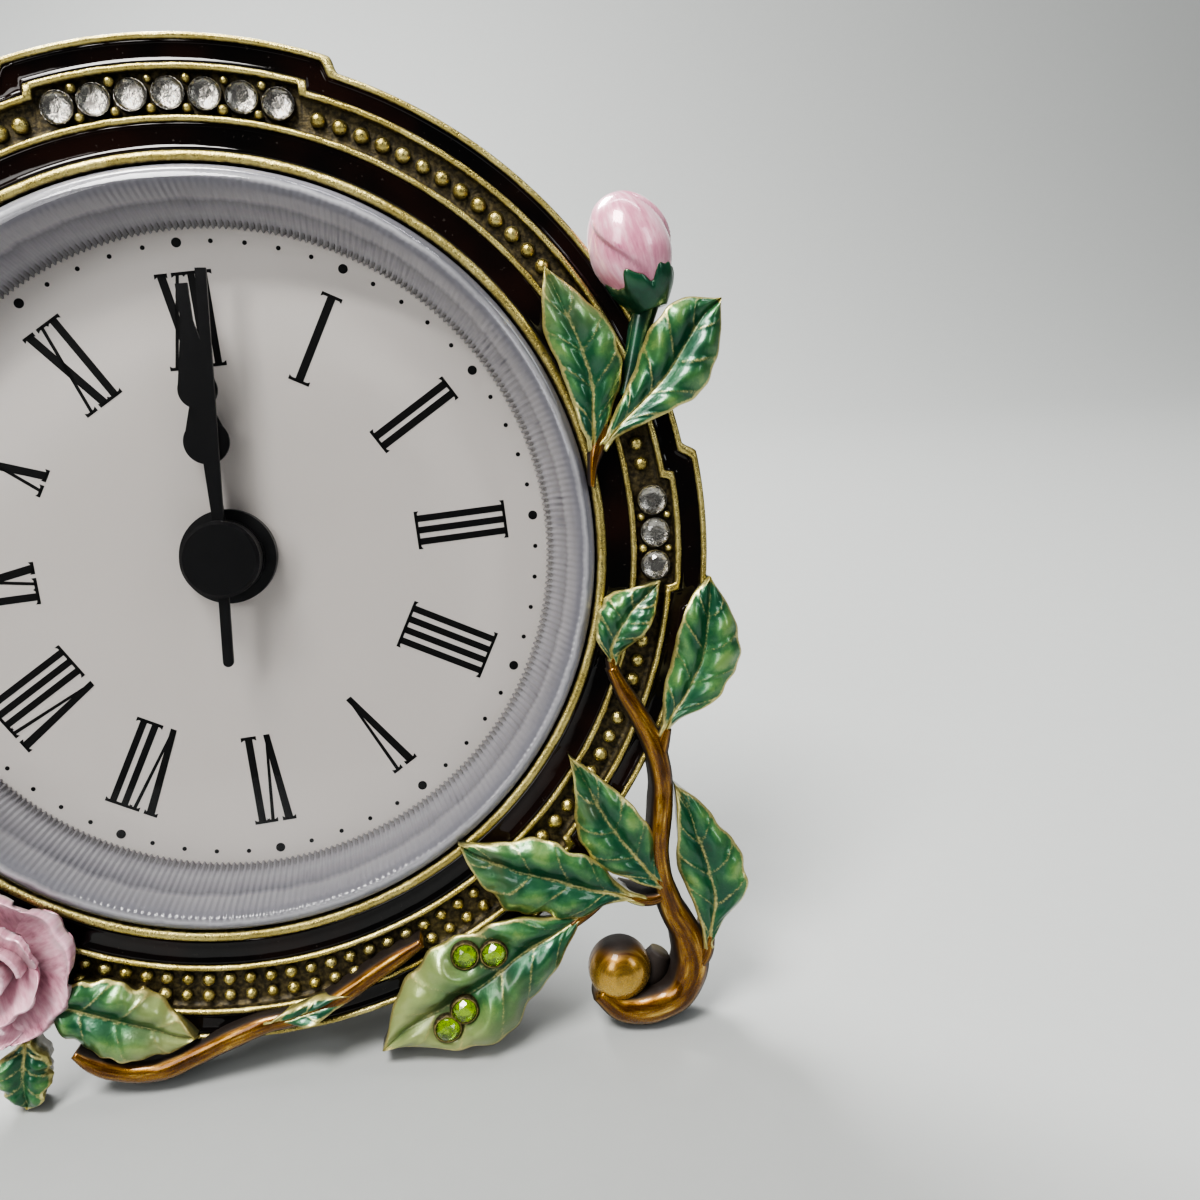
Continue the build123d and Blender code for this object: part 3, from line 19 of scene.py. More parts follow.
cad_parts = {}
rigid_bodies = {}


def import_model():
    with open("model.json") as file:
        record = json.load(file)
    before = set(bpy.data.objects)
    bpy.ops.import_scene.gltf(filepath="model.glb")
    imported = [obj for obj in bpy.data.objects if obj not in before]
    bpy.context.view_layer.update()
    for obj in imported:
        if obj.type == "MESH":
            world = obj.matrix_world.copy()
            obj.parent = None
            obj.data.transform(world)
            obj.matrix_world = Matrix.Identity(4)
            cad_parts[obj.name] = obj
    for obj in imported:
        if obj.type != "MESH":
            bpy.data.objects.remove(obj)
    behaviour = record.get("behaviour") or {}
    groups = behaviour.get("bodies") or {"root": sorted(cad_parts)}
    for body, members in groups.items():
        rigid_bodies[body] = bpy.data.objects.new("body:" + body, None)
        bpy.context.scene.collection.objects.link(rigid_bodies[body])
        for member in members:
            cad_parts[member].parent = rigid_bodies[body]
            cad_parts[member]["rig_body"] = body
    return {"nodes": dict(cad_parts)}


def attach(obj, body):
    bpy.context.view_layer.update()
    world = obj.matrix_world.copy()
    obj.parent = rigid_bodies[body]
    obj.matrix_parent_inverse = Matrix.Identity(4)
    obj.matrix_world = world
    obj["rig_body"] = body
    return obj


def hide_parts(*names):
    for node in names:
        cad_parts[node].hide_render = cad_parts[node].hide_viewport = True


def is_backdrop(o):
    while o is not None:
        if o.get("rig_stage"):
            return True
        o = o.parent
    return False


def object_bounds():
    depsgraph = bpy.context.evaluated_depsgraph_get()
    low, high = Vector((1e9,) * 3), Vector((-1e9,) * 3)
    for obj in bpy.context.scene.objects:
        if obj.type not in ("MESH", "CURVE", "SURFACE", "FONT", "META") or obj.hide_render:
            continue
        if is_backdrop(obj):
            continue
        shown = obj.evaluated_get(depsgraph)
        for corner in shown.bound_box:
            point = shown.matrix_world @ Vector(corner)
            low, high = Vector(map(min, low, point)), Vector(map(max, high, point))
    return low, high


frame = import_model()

cad_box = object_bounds()
scene = bpy.context.scene

# %% [markdown]
# ## The face's own axes
#
# The clock leans back, so world axes are awkward for it. Everything on the face is easier to say as
# millimetres to the right, up the dial and out towards the viewer, counted from the dial's centre.
# One function turns such points into world points in metres.

# %% Face axes
MM = 0.001
LEAN = math.radians(12)
INSERT_TURN = math.radians(4)
DIAL_CENTRE = np.array((0, -10.5, 43.547)) * MM
FACE = np.array((
    (1, 0, 0),
    (0, math.sin(LEAN), math.cos(LEAN)),
    (0, -math.cos(LEAN), math.sin(LEAN)),
))
FACING = FACE[2].tolist()


def on_face(points):
    """Millimetres right, up and out from the dial's centre, as world points in metres."""
    return DIAL_CENTRE + MM * np.asarray(points, float) @ FACE


def polar(radius, degrees, out=0.0):
    """Points on the face from radii, angles counted from the right, and heights."""
    turn = np.radians(degrees)
    return np.stack(np.broadcast_arrays(radius * np.cos(turn), radius * np.sin(turn), out), -1)


print("face looks along", FACE[2].round(3))

# %% [markdown]
# ## Camera
#
# The photograph is taken from close by, a little to the right of the dial and a little above it, so
# the near side of the ring looks larger. Its left part is cut off by the picture's edge. A camera
# that stands at the same place shows the same curves, which no later shift can imitate.

# %% Camera
def add_object(name, data):
    """A new object in the scene for a mesh, a camera or a lamp."""
    made = bpy.data.objects.new(name, data)
    scene.collection.objects.link(made)
    return made


def look(position, ahead, above, focal_pixels, frame_pixels=1200):
    """A camera from its place and directions on the face, and its focal length in pixels."""
    data = bpy.data.cameras.new("view")
    data.lens = data.sensor_width * focal_pixels / frame_pixels
    data.clip_start = 5 * MM
    back = Vector(-np.asarray(ahead, float) @ FACE).normalized()
    right = Vector(np.asarray(above, float) @ FACE).cross(back).normalized()
    turn = Matrix((right, back.cross(right), back)).transposed().to_4x4()
    scene.camera = add_object("view", data)
    scene.camera.matrix_world = Matrix.Translation(on_face(position)) @ turn


look((20.15, 6.26, 102.41), (0.126, -0.1225, -0.984), (0.0736, 0.9905, -0.114), 1100)
print("lens", round(scene.camera.data.lens, 1), "mm")

# %% [markdown]
# ## Table and light
#
# The clock stands on a pale grey table that runs up into the background without an edge, as a
# curved sheet of paper does in a studio. Soft panels hang above it and a little behind it, so that
# the ring shades the top of the dial and the clock throws its shadow forward. Weak tall lamps stand
# to the left and right: enamel and gilding show their form mostly by what they reflect, so the size
# and place of the lamps matter more than their number.

# %% Node helpers
class Wire:
    """A socket that can be used in sums, so that shader maths reads as maths."""

    def __init__(self, graph, node, out=0):
        self.graph, self.node, self.name = graph, node, out

    @property
    def socket(self):
        return self.node.outputs[self.name]

    def out(self, name):
        return Wire(self.graph, self.node, name)

    def math(self, operation, *values):
        return self.graph.add("ShaderNodeMath", {"operation": operation}, dict(enumerate(values)))

    def __add__(self, other):
        return self.math("ADD", self, other)

    def __mul__(self, other):
        return self.math("MULTIPLY", self, other)

    def __sub__(self, other):
        return self.math("SUBTRACT", self, other)

    def __rsub__(self, other):
        return self.math("SUBTRACT", other, self)

    __radd__, __rmul__ = __add__, __mul__

    def step(self, low, high):
        """0 below one value, 1 above another and smooth between them."""
        settings = {"interpolation_type": "SMOOTHSTEP"}
        return self.graph.add("ShaderNodeMapRange", settings, {0: self, 1: low, 2: high})


class Graph:
    """A node tree that is being built, for a finish or for geometry."""

    def __init__(self, tree):
        self.tree = tree

    def put(self, socket, value):
        if isinstance(value, Wire):
            self.tree.links.new(value.socket, socket)
        elif socket.type == "RGBA":
            socket.default_value = (*value, 1)
        else:
            socket.default_value = value

    def add(self, kind, settings=None, values=None, out=0):
        """Any node: its type, its settings, and values or wires for its sockets."""
        node = self.tree.nodes.new(kind)
        for name, value in (settings or {}).items():
            if name == "stops":
                self.set_stops(node.color_ramp.elements, value)
            else:
                setattr(node, name, value)
        for name, value in (values or {}).items():
            self.put(node.inputs[name], value)
        return Wire(self, node, out)

    def set_stops(self, elements, stops):
        while len(elements) < len(stops):
            elements.new(1)
        for element, (place, colour) in zip(elements, stops):
            element.position, element.color = place, (*colour, 1)

    def mark(self, name):
        """A value that the mesh carries at its points."""
        return self.add("ShaderNodeAttribute", {"attribute_name": name}).out("Fac")

    def noise(self, per_mm, detail=4, roughness=0.55):
        """Noise with so many features to the millimetre, 0 to 1."""
        place = self.add("ShaderNodeTexCoord").out("Object")
        return self.add("ShaderNodeTexNoise", {}, {
            "Vector": place, "Scale": per_mm / MM, "Detail": detail, "Roughness": roughness})

    def streaks(self, along, across, scale, detail, roughness, distortion=0):
        """Noise that follows a piece, laid out in two values that its mesh carries."""
        run = self.add("ShaderNodeCombineXYZ", {}, {0: along, 1: across})
        return self.add("ShaderNodeTexNoise", {}, {
            "Vector": run, "Scale": scale, "Detail": detail, "Roughness": roughness, "Distortion": distortion})

    def mix(self, share, first, second):
        """A colour between two colours."""
        settings = {"data_type": "RGBA", "clamp_factor": True}
        return self.add("ShaderNodeMix", settings, {0: share, 6: first, 7: second}, out=2)

    def ramp(self, value, *stops):
        return self.add("ShaderNodeValToRGB", {"stops": stops}, {0: value})

    def bump(self, height, depth_mm, strength=1.0):
        """Fine relief of so many millimetres."""
        return self.add("ShaderNodeBump", {}, {"Height": height, "Distance": depth_mm * MM, "Strength": strength})

    def skin(self, **values):
        """The surface shader. Names are its sockets' names, with _ for a space."""
        return self.add("ShaderNodeBsdfPrincipled", {}, {k.replace("_", " "): v for k, v in values.items()})


def finish(name, build):
    """A material from a function that lays its nodes."""
    material = bpy.data.materials.new(name)
    material.use_nodes = True
    material.node_tree.nodes.clear()
    graph = Graph(material.node_tree)
    graph.add("ShaderNodeOutputMaterial", {}, {"Surface": build(graph)})
    return material


# %% Table
def table_paper(g):
    """Pale grey card with a faint fibre."""
    fibre = g.noise(0.4, 5)
    colour = g.mix(fibre, (0.300, 0.311, 0.309), (0.315, 0.324, 0.321))
    return g.skin(Base_Color=colour, Roughness=0.62, Normal=g.bump(fibre, 0.02))


def sweep_floor(front=-0.6, depth=0.5, rise=0.55, width=1.6, bend=0.22, steps=24):
    """A floor that curves up behind the clock, as one sheet, in metres."""
    turn = np.linspace(0, math.pi / 2, steps)
    line = [(front, 0.0)]
    line += [(depth - bend + bend * math.sin(t), bend - bend * math.cos(t)) for t in turn]
    line.append((depth, rise))
    points = [(side * width / 2, y, z) for y, z in line for side in (-1, 1)]
    faces = [(2 * i, 2 * i + 1, 2 * i + 3, 2 * i + 2) for i in range(len(line) - 1)]
    mesh = bpy.data.meshes.new("table")
    mesh.from_pydata(points, [], faces)
    mesh.shade_smooth()
    mesh.materials.append(finish("table_paper", table_paper))
    table = add_object("table", mesh)
    table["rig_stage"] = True
    print("table of", len(faces), "faces")


sweep_floor()


# %% Lamps
def lamp(name, place, aim, size, power, colour=(1, 1, 1)):
    """A soft lamp at a world place, in metres, that shines at another."""
    data = bpy.data.lights.new(name, "AREA")
    data.shape, data.size, data.size_y = "RECTANGLE", *size
    data.energy, data.color = power, colour
    light = add_object(name, data)
    light.location = place
    light.rotation_euler = (Vector(place) - Vector(aim)).to_track_quat("Z", "Y").to_euler()


clock = (0, -0.01, 0.04)
lamp("ceiling_panel", (-0.14, -0.20, 0.54), clock, (0.20, 0.20), 5.8, (1, 0.98, 0.945))
lamp("rear_panel", (-0.14, 0.30, 0.42), clock, (0.20, 0.16), 6.0, (1, 0.99, 0.97))
lamp("left_window", (-0.36, -0.50, 0.42), clock, (0.22, 0.34), 1.7, (1, 0.985, 0.96))
lamp("right_window", (0.48, -0.36, 0.40), clock, (0.14, 0.34), 0.9, (0.95, 0.98, 1))
lamp("backdrop_strip", (0.1, 0.10, 0.55), (0.2, 0.50, 0.10), (0.5, 0.08), 1.6)
world = bpy.data.worlds.new("room")
world.use_nodes = True
room = world.node_tree.nodes["Background"].inputs
room["Color"].default_value = (0.70, 0.72, 0.73, 1)
room["Strength"].default_value = 0.14
scene.world = world
scene.view_settings.look = "AgX - Medium High Contrast"

# %% [markdown]
# ## Making and dressing a piece
#
# Most pieces of this clock are swept shapes: a row of points is carried along a path, and rows join
# into a grid of quads. A grid can be closed into a loop either way, so one helper serves rings,
# stems, leaves and petals. Values stored at the points tell the materials where a crest or a vein is,
# and where shade is painted into creases and along edges, which noise alone can't know.

# %% Mesh helpers
def grid_faces(rows, columns, loop_rows=False, loop_columns=False):
    """Quads of a grid of points that are listed row by row."""
    r = np.arange(rows if loop_rows else rows - 1)
    c = np.arange(columns if loop_columns else columns - 1)
    r, c = np.meshgrid(r, c, indexing="ij")
    r_next, c_next = (r + 1) % rows, (c + 1) % columns
    corners = (r * columns + c, r * columns + c_next, r_next * columns + c_next, r_next * columns + c)
    return np.stack(corners, -1).reshape(-1, 4).tolist()


def tube_faces(rows, columns):
    """Quads of a grid whose rows are loops, with a face over each end."""
    ends = [list(range(columns)), [(rows - 1) * columns + i for i in reversed(range(columns))]]
    return grid_faces(rows, columns, False, True) + ends


def mesh_object(name, points, faces=None, marks=None, smooth=True, mirror=False):
    """An object from points on the face, with values stored at them. A grid is a tube by default."""
    points = np.array(points, float)
    points[..., 0] *= -1 if mirror else 1
    mesh = bpy.data.meshes.new(name)
    mesh.from_pydata(on_face(points.reshape(-1, 3)).tolist(), [], faces or tube_faces(*points.shape[:2]))
    for key, values in (marks or {}).items():
        layer = mesh.attributes.new(key, "FLOAT", "POINT")
        layer.data.foreach_set("value", np.broadcast_to(values, points.shape[:-1]).astype(np.float32).ravel())
    work = bmesh.new()
    work.from_mesh(mesh)
    bmesh.ops.recalc_face_normals(work, faces=work.faces)
    work.to_mesh(mesh)
    work.free()
    mesh.shade_smooth() if smooth else mesh.shade_flat()
    return add_object(name, mesh)


def join(name, *pieces):
    """One object from several, each a closed body."""
    bpy.ops.object.select_all(action="DESELECT")
    for piece in pieces:
        piece.select_set(True)
    bpy.context.view_layer.objects.active = pieces[0]
    bpy.ops.object.join()
    pieces[0].name = pieces[0].data.name = name
    return pieces[0]


def bake_modifier(piece):
    """Keeps what a piece's modifier makes as its plain mesh."""
    ready = bpy.context.evaluated_depsgraph_get()
    made = bpy.data.meshes.new_from_object(piece.evaluated_get(ready), depsgraph=ready)
    piece.modifiers.clear()
    piece.data = made
    return piece


def dress(piece, material, slot, *nodes, body="frame"):
    """Gives a piece its finish and its body, and hides the CAD nodes that it stands for."""
    piece.data.materials.clear()
    piece.data.materials.append(material)
    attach(piece, body)
    if nodes:
        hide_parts(*nodes)
    print(f"{piece.name}: {len(piece.data.polygons)} faces")


def smooth_line(places, stops, values):
    """A smooth curve through values at stops, without overshoot at flat ends."""
    stops, values = np.asarray(stops, float), np.asarray(values, float)
    slopes = np.gradient(values, stops, axis=0)
    index = np.clip(np.searchsorted(stops, places, side="right") - 1, 0, len(stops) - 2)
    span = stops[index + 1] - stops[index]
    t = (places - stops[index]) / span
    if values.ndim > 1:
        span, t = span[:, None], t[:, None]
    first = (2 * t**3 - 3 * t**2 + 1) * values[index] + (t**3 - 2 * t**2 + t) * span * slopes[index]
    return first + (3 * t**2 - 2 * t**3) * values[index + 1] + (t**3 - t**2) * span * slopes[index + 1]


def side_way(way):
    """The direction to the left of a direction on the face."""
    return np.stack((-way[..., 1], way[..., 0]), -1)


print("helpers ready")

# %% [markdown]
# ## The ring casting
#
# The ring is one casting: four narrow mouldings, two channels for black enamel and a sunken bed for
# the beads between them. At four places it steps outwards, as a frame for a row of stones or, at the
# bottom, for a double row of beads. The mouldings keep their width round each step, so their inner
# and outer edges step at slightly different angles. A profile swept round the ring gives all of
# this, with the angles set closer together at the steps. Crests are marked 1 and recesses 0 for the
# gilder's finish.

# %% Ring outline
BORE, INNER_RIM, INNER_CHANNEL, BED = 32.4, 33.3, 35.4, 36.0
BED_OUTER, OUTER_CHANNEL, OUTER_RIM, RING = 38.6, 39.2, 40.6, 41.2
CARTOUCHES = ((90, 15.6), (0, 7.3), (180, 7.3), (270, 46))
INNER_STEP, OUTER_STEP, FLARE, EDGE_TURN = 0.8, 1.1, 2.4, 0.42
SHARP_STEP, SOFT_STEP = 0.5, 1.6
RIM, FLOOR, HOLLOW, RING_BACK = 7.0, 6.0, 4.6, 1.6
COLLAR, LEDGE, LEDGE_FRONT, LEDGE_BACK, SKIRT = 33.9, 30.4, -2.4, -3.4, 40.0


def stepped(radius, step, shift, soft):
    """A radius that grows by a step inside every cartouche, widened by a shift in degrees."""
    share = np.zeros_like(angles)
    for centre, half in CARTOUCHES:
        away = np.abs((angles - centre + 180) % 360 - 180)
        t = np.clip((half + shift - away) / soft + 0.5, 0, 1)
        share = np.maximum(share, t * t * (3 - 2 * t))
    return radius + step * share


def ring_angles():
    """Angles round the ring, closer together at the cartouches' ends."""
    fine = [np.arange(0, 360, 0.6)]
    for centre, half in CARTOUCHES:
        for side in (-1, 1):
            fine.append(centre + side * (half + np.linspace(-1.1, 4.2, 40)))
    return np.unique(np.concatenate(fine).round(4) % 360)


angles = ring_angles()
bed_edge = stepped(BED_OUTER, INNER_STEP, -EDGE_TURN, SHARP_STEP)
channel_edge = stepped(OUTER_CHANNEL, INNER_STEP, EDGE_TURN, SHARP_STEP)
enamel_edge = stepped(OUTER_RIM, OUTER_STEP, FLARE - EDGE_TURN, SOFT_STEP)
ring_edge = stepped(RING, OUTER_STEP, FLARE + EDGE_TURN, SOFT_STEP)
print("angles round the ring:", len(angles))

# %% Ring profile
CROWN = ((0.0, -0.42, 0.0), (0.04, -0.24, 0.45), (0.22, -0.06, 0.9), (0.5, 0, 1),
         (0.78, -0.06, 0.9), (0.96, -0.24, 0.45), (1.0, -0.42, 0.0))


def moulding(inner, outer):
    """A crowned moulding between two radii, as (radii, height, crest) rows."""
    return [(inner + (outer - inner) * t, RIM + drop, crest) for t, drop, crest in CROWN]


def trough(inner, outer, steps=4):
    """A flat recess between two mouldings."""
    return [(inner + (outer - inner) * t, FLOOR, 0.0) for t in np.linspace(0.0, 1.0, steps)]


ring_rows = [(LEDGE, LEDGE_BACK, 0.5), (LEDGE, LEDGE_FRONT, 0.5), (BORE, LEDGE_FRONT, 0.3)]
ring_rows += moulding(BORE, INNER_RIM) + trough(INNER_RIM, INNER_CHANNEL)
ring_rows += moulding(INNER_CHANNEL, BED) + trough(BED, bed_edge, 7)
ring_rows += moulding(bed_edge, channel_edge) + trough(channel_edge, enamel_edge)
ring_rows += moulding(enamel_edge, ring_edge)
ring_rows += [(ring_edge, z, 0.35) for z in (5.8, 4.6, 3.2, 2.1)]
ring_rows += [(ring_edge - 0.08, 1.75, 0.6), (ring_edge - 0.3, RING_BACK, 0.7), (SKIRT + 0.15, RING_BACK, 0.7)]
ring_rows += [(SKIRT, 1.9, 0.5), (SKIRT, 4.3, 0.15), (SKIRT - 0.4, HOLLOW, 0.1), (COLLAR + 0.4, HOLLOW, 0.1)]
ring_rows += [(COLLAR, 4.3, 0.15), (COLLAR, -3.1, 0.5), (COLLAR - 0.3, LEDGE_BACK, 0.6)]


def sweep_ring(name, rows, uneven=0.0, seed=3):
    """Rows of (radius, height, crest) carried round the ring and closed both ways."""
    radii = np.stack([np.broadcast_to(row[0], angles.shape) for row in rows])
    out, crest = (np.array([row[i] for row in rows])[:, None] for i in (1, 2))
    waves = np.random.default_rng(seed).normal(size=(24, 2))
    ripple = sum(a * np.sin(np.radians(angles * (5 * k + 7)) + 9 * b) for k, (a, b) in enumerate(waves))
    radii = radii + uneven * ripple * (crest > 0.6)
    faces = grid_faces(len(rows), len(angles), True, True)
    return mesh_object(name, polar(radii, angles, out), faces, {"crest": crest})


def antique_gold(crest=None):
    """Worn antique gilding: pale gold where it is rubbed, olive-brown tarnish where it isn't."""
    def build(g):
        grain = g.noise(2.6, 6, 0.65)
        cloud = g.noise(0.28, 3)
        speck = g.noise(7.0, 3, 0.6)
        height = g.mark(crest) * 1.25 if crest else 0.66
        rubbed = (grain * 0.7 + cloud * 0.3 + height - 0.86).step(0.0, 0.72)
        dark = g.mix(grain.step(0.35, 0.75), (0.012, 0.009, 0.004), (0.115, 0.088, 0.036))
        gold = g.mix(cloud.step(0.35, 0.7), (0.40, 0.32, 0.10), (0.62, 0.53, 0.21))
        gold = g.mix(speck.step(0.55, 0.8) * 0.6, gold, (0.88, 0.82, 0.50))
        return g.skin(Base_Color=g.mix(rubbed, dark, gold), Metallic=rubbed * 0.35 + 0.62,
                      Roughness=0.46 - rubbed * 0.18 + (grain - 0.5) * 0.3,
                      Normal=g.bump(grain * 0.6 + speck * 0.4, 0.10, 0.9))
    return build


gilt = finish("antique_gold_by_crest", antique_gold("crest"))
ring = sweep_ring("ring_rim_and_back", ring_rows, 0.006)
print("ring rows:", len(ring_rows))

# %% [markdown]
# The easel leg swings on two lugs at the casting's back. Each is a flat plate with a round end about
# the hinge pin and a small chamfer. The outline is inset at both faces, so the same four outlines
# in a row make the plate and its chamfers, and the plates are joined to the ring as one casting.

# %% Hinge lugs
HINGE_UP, HINGE_OUT, LUG_RADIUS, LUG_INNER, LUG_THICK, LUG_CHAMFER = 36.0, -7.5, 2.4, 4.3, 1.5, 0.25
LUG_ROOT = HOLLOW + 0.2


def lug_mesh(side):
    """One hinge lug, left or right of the middle."""
    spin = np.radians(np.linspace(180, 360, 25))
    rows = []
    for across, inset in ((0, LUG_CHAMFER), (LUG_CHAMFER, 0), (LUG_THICK - LUG_CHAMFER, 0), (LUG_THICK, LUG_CHAMFER)):
        radius = LUG_RADIUS - inset
        up = np.concatenate((HINGE_UP + radius * np.cos(spin), (HINGE_UP + radius, HINGE_UP - radius)))
        out = np.concatenate((HINGE_OUT + radius * np.sin(spin), (LUG_ROOT, LUG_ROOT)))
        rows.append(np.stack(np.broadcast_arrays(side * (LUG_INNER + across), up, out), -1))
    return mesh_object("lug", rows, marks={"crest": [[0.75], [0.6], [0.6], [0.75]]}, smooth=False)


dress(join("ring_casting", ring, lug_mesh(-1), lug_mesh(1)), gilt, "gilt_casting", "frame_casting")

# %% [markdown]
# ## Black enamel
#
# Enamel is poured into the channels and fired. It climbs a little up the metal at its edges and
# dries with a slow unevenness that bends its reflections. Both show only as highlights, so the
# surface gets a real meniscus in its mesh and a very shallow, wide bump in its material.

# %% Enamel rings
def enamel_rows(inner, outer, level=6.58, climb=0.2, steps=9):
    """A poured surface between two mouldings, with its underside on the channel's floor."""
    rows = [(inner + (outer - inner) * t, level + climb * (2 * t - 1) ** 4, 1.0) for t in np.linspace(0, 1, steps)]
    return rows + [(outer, FLOOR, 0.0), (inner, FLOOR, 0.0)]


def black_enamel_skin(g):
    """Glossy black with a slow waviness and rare dust."""
    dust = g.noise(3.0, 2, 0.5).step(0.70, 0.74)
    colour = g.mix(g.noise(0.12, 2).step(0.4, 0.7), (0.0016, 0.0013, 0.0013), (0.008, 0.003, 0.002))
    return g.skin(Base_Color=g.mix(dust * 0.2, colour, (0.08, 0.07, 0.06)), Roughness=0.06 + dust * 0.3,
                  IOR=1.27, Coat_Weight=0.3, Coat_Roughness=0.02, Normal=g.bump(g.noise(0.22, 2), 0.16, 0.7))


black_enamel = finish("black_enamel", black_enamel_skin)
for node, inner, outer in (("inner_enamel", INNER_RIM, INNER_CHANNEL), ("outer_enamel", channel_edge, enamel_edge)):
    dress(sweep_ring(node + "_ring", enamel_rows(inner, outer)), black_enamel, "black_enamel", node)

# %% [markdown]
# ## Beads
#
# The beads are cast with the ring, in a single row along the bed and a double row at the bottom.
# They are the same form over a hundred times, so Geometry Nodes set them: one low sphere on each
# point of a bare mesh, turned to the face, each a few hundredths of a millimetre off in size as
# castings are. The points come from the same arcs as the CAD beads.

# %% Trees that repeat a shape
def new_tree(name, inputs):
    """An empty geometry tree with named inputs."""
    tree = bpy.data.node_groups.new(name, "GeometryNodeTree")
    tree.interface.new_socket("Geometry", in_out="INPUT", socket_type="NodeSocketGeometry")
    tree.interface.new_socket("Geometry", in_out="OUTPUT", socket_type="NodeSocketGeometry")
    for label, kind in (inputs | {"Facing": "Vector", "Finish": "Material"}).items():
        tree.interface.new_socket(label, in_out="INPUT", socket_type="NodeSocket" + kind)
    graph = Graph(tree)
    return graph, graph.add("NodeGroupInput")


def close_tree(g, given, form, size, smooth=True, wobble=None):
    """Sets a form on each point, turned to the face, as real geometry in its finish."""
    turn = g.add("FunctionNodeAlignRotationToVector", {"axis": "Z"}, {"Vector": given.out("Facing")})
    if wobble:
        turn = g.add("FunctionNodeRotateRotation", {"rotation_space": "LOCAL"}, {0: turn, 1: wobble})
    solid = g.add("GeometryNodeInstanceOnPoints", {}, {
        "Points": given, "Instance": form, "Rotation": turn, "Scale": size})
    solid = g.add("GeometryNodeRealizeInstances", {}, {0: solid})
    solid = g.add("GeometryNodeSetShadeSmooth", {}, {"Geometry": solid, "Shade Smooth": smooth})
    solid = g.add("GeometryNodeSetMaterial", {}, {"Geometry": solid, "Material": given.out("Finish")})
    g.add("NodeGroupOutput", {}, {0: solid})
    return g.tree


def grow(name, tree, points, material, inputs):
    """Runs a tree on bare points of the face and keeps the result as a plain mesh."""
    mesh = bpy.data.meshes.new(name + "_points")
    mesh.from_pydata(on_face(points).tolist(), [], [])
    piece = add_object(name, mesh)
    modifier = piece.modifiers.new("grow", "NODES")
    modifier.node_group = tree
    inputs = inputs | {"Facing": FACING, "Finish": material}
    for item in tree.interface.items_tree:
        if item.in_out == "INPUT" and item.name in inputs:
            modifier[item.identifier] = inputs[item.name]
    return bake_modifier(piece)


def bead_tree():
    """Low spheres on points, each a little different in size."""
    g, given = new_tree("bead_course", {
        "Bead radius": "Float", "Bead height": "Float", "Unevenness": "Float", "Seed": "Int"})
    ball = g.add("GeometryNodeMeshUVSphere", {}, {"Segments": 12, "Rings": 7, "Radius": 1.0})
    height = g.add("ShaderNodeSeparateXYZ", {}, {0: g.add("GeometryNodeInputPosition")}, out=2)
    ball = g.add("GeometryNodeStoreNamedAttribute", {"data_type": "FLOAT", "domain": "POINT"}, {
        "Geometry": ball, "Name": "crest", "Value": height.step(-0.1, 0.75)})
    chance = g.add("FunctionNodeRandomValue", {"data_type": "FLOAT"}, {
        2: -1.0, 3: 1.0, "Seed": given.out("Seed")}, out=1)
    grown = chance * given.out("Unevenness") + 1.0
    wide, high = grown * given.out("Bead radius"), grown * given.out("Bead height")
    return close_tree(g, given, ball, g.add("ShaderNodeCombineXYZ", {}, {0: wide, 1: wide, 2: high}))


def arc(radius, start, end, pitch=2.75):
    """Evenly spaced points along an arc."""
    count = max(1, round((end - start) / pitch))
    return polar(radius, np.linspace(start, end, count + 1), FLOOR)


beads = bead_tree()


def set_beads(name, places, radius, height, uneven, seed):
    """One piece of gilt beads, all sizes in mm."""
    course = grow(name, beads, places, gilt, {
        "Bead radius": radius * MM, "Bead height": height * MM, "Unevenness": uneven, "Seed": seed})
    dress(course, gilt, "gilt_casting", "frame_casting")


BEAD_ARCS = ((38.5, 72), (108, 170), (9.4, 12.2), (314, 345), (190, 222))
DOUBLE_ARC, ROW_GAP = (228, 310), 1.5
row_middle = BED + (BED_OUTER - BED + INNER_STEP) / 2
single = np.concatenate([arc((BED + BED_OUTER) / 2, *ends) for ends in BEAD_ARCS])
double = np.concatenate([arc(row_middle + side * ROW_GAP / 2, *DOUBLE_ARC) for side in (-1, 1)])
set_beads("bead_course", single, 0.70, 0.78, 0.07, 11)
set_beads("bead_double_course", double, 0.60, 0.72, 0.07, 11)

# %% [markdown]
# ## Stones
#
# The stones are foiled glass: a flat table, a ring of crown facets, a girdle and a pointed back with
# silvery foil under it. What reads as sparkle is the pattern of foil facets seen through the crown.
# So each stone is a glass body over a faceted foil, both as the convex hull of rings of points,
# which gives flat facets with no drawing. A tree sets one on each seat.

# %% Stone forms
def facet_form(name, rings, tip):
    """The convex hull of a tip and of rings of points: radius, height, count and turn."""
    work = bmesh.new()
    for radius, height, count, turn in rings:
        for i in range(count):
            spin = math.tau * (i + turn) / count
            work.verts.new((radius * math.cos(spin), radius * math.sin(spin), height))
    work.verts.new((0, 0, tip))
    bmesh.ops.convex_hull(work, input=work.verts)
    mesh = bpy.data.meshes.new(name)
    work.to_mesh(mesh)
    work.free()
    return add_object(name, mesh)


def stone_tree():
    """A faceted form on each point, each turned a little differently about its own axis."""
    g, given = new_tree("set_stones", {"Form": "Object", "Stone radius": "Float", "Tilt": "Float", "Seed": "Int"})
    form = g.add("GeometryNodeObjectInfo", {}, {"Object": given.out("Form")}).out("Geometry")
    high = g.add("ShaderNodeCombineXYZ", {}, {0: given.out("Tilt"), 1: given.out("Tilt"), 2: 3.1})
    low = g.add("ShaderNodeVectorMath", {"operation": "MULTIPLY"}, {0: high, 1: (-1.0, -1.0, -1.0)})
    wobble = g.add("FunctionNodeRandomValue", {"data_type": "FLOAT_VECTOR"}, {
        0: low, 1: high, "Seed": given.out("Seed")})
    return close_tree(g, given, form, given.out("Stone radius"), False, wobble)


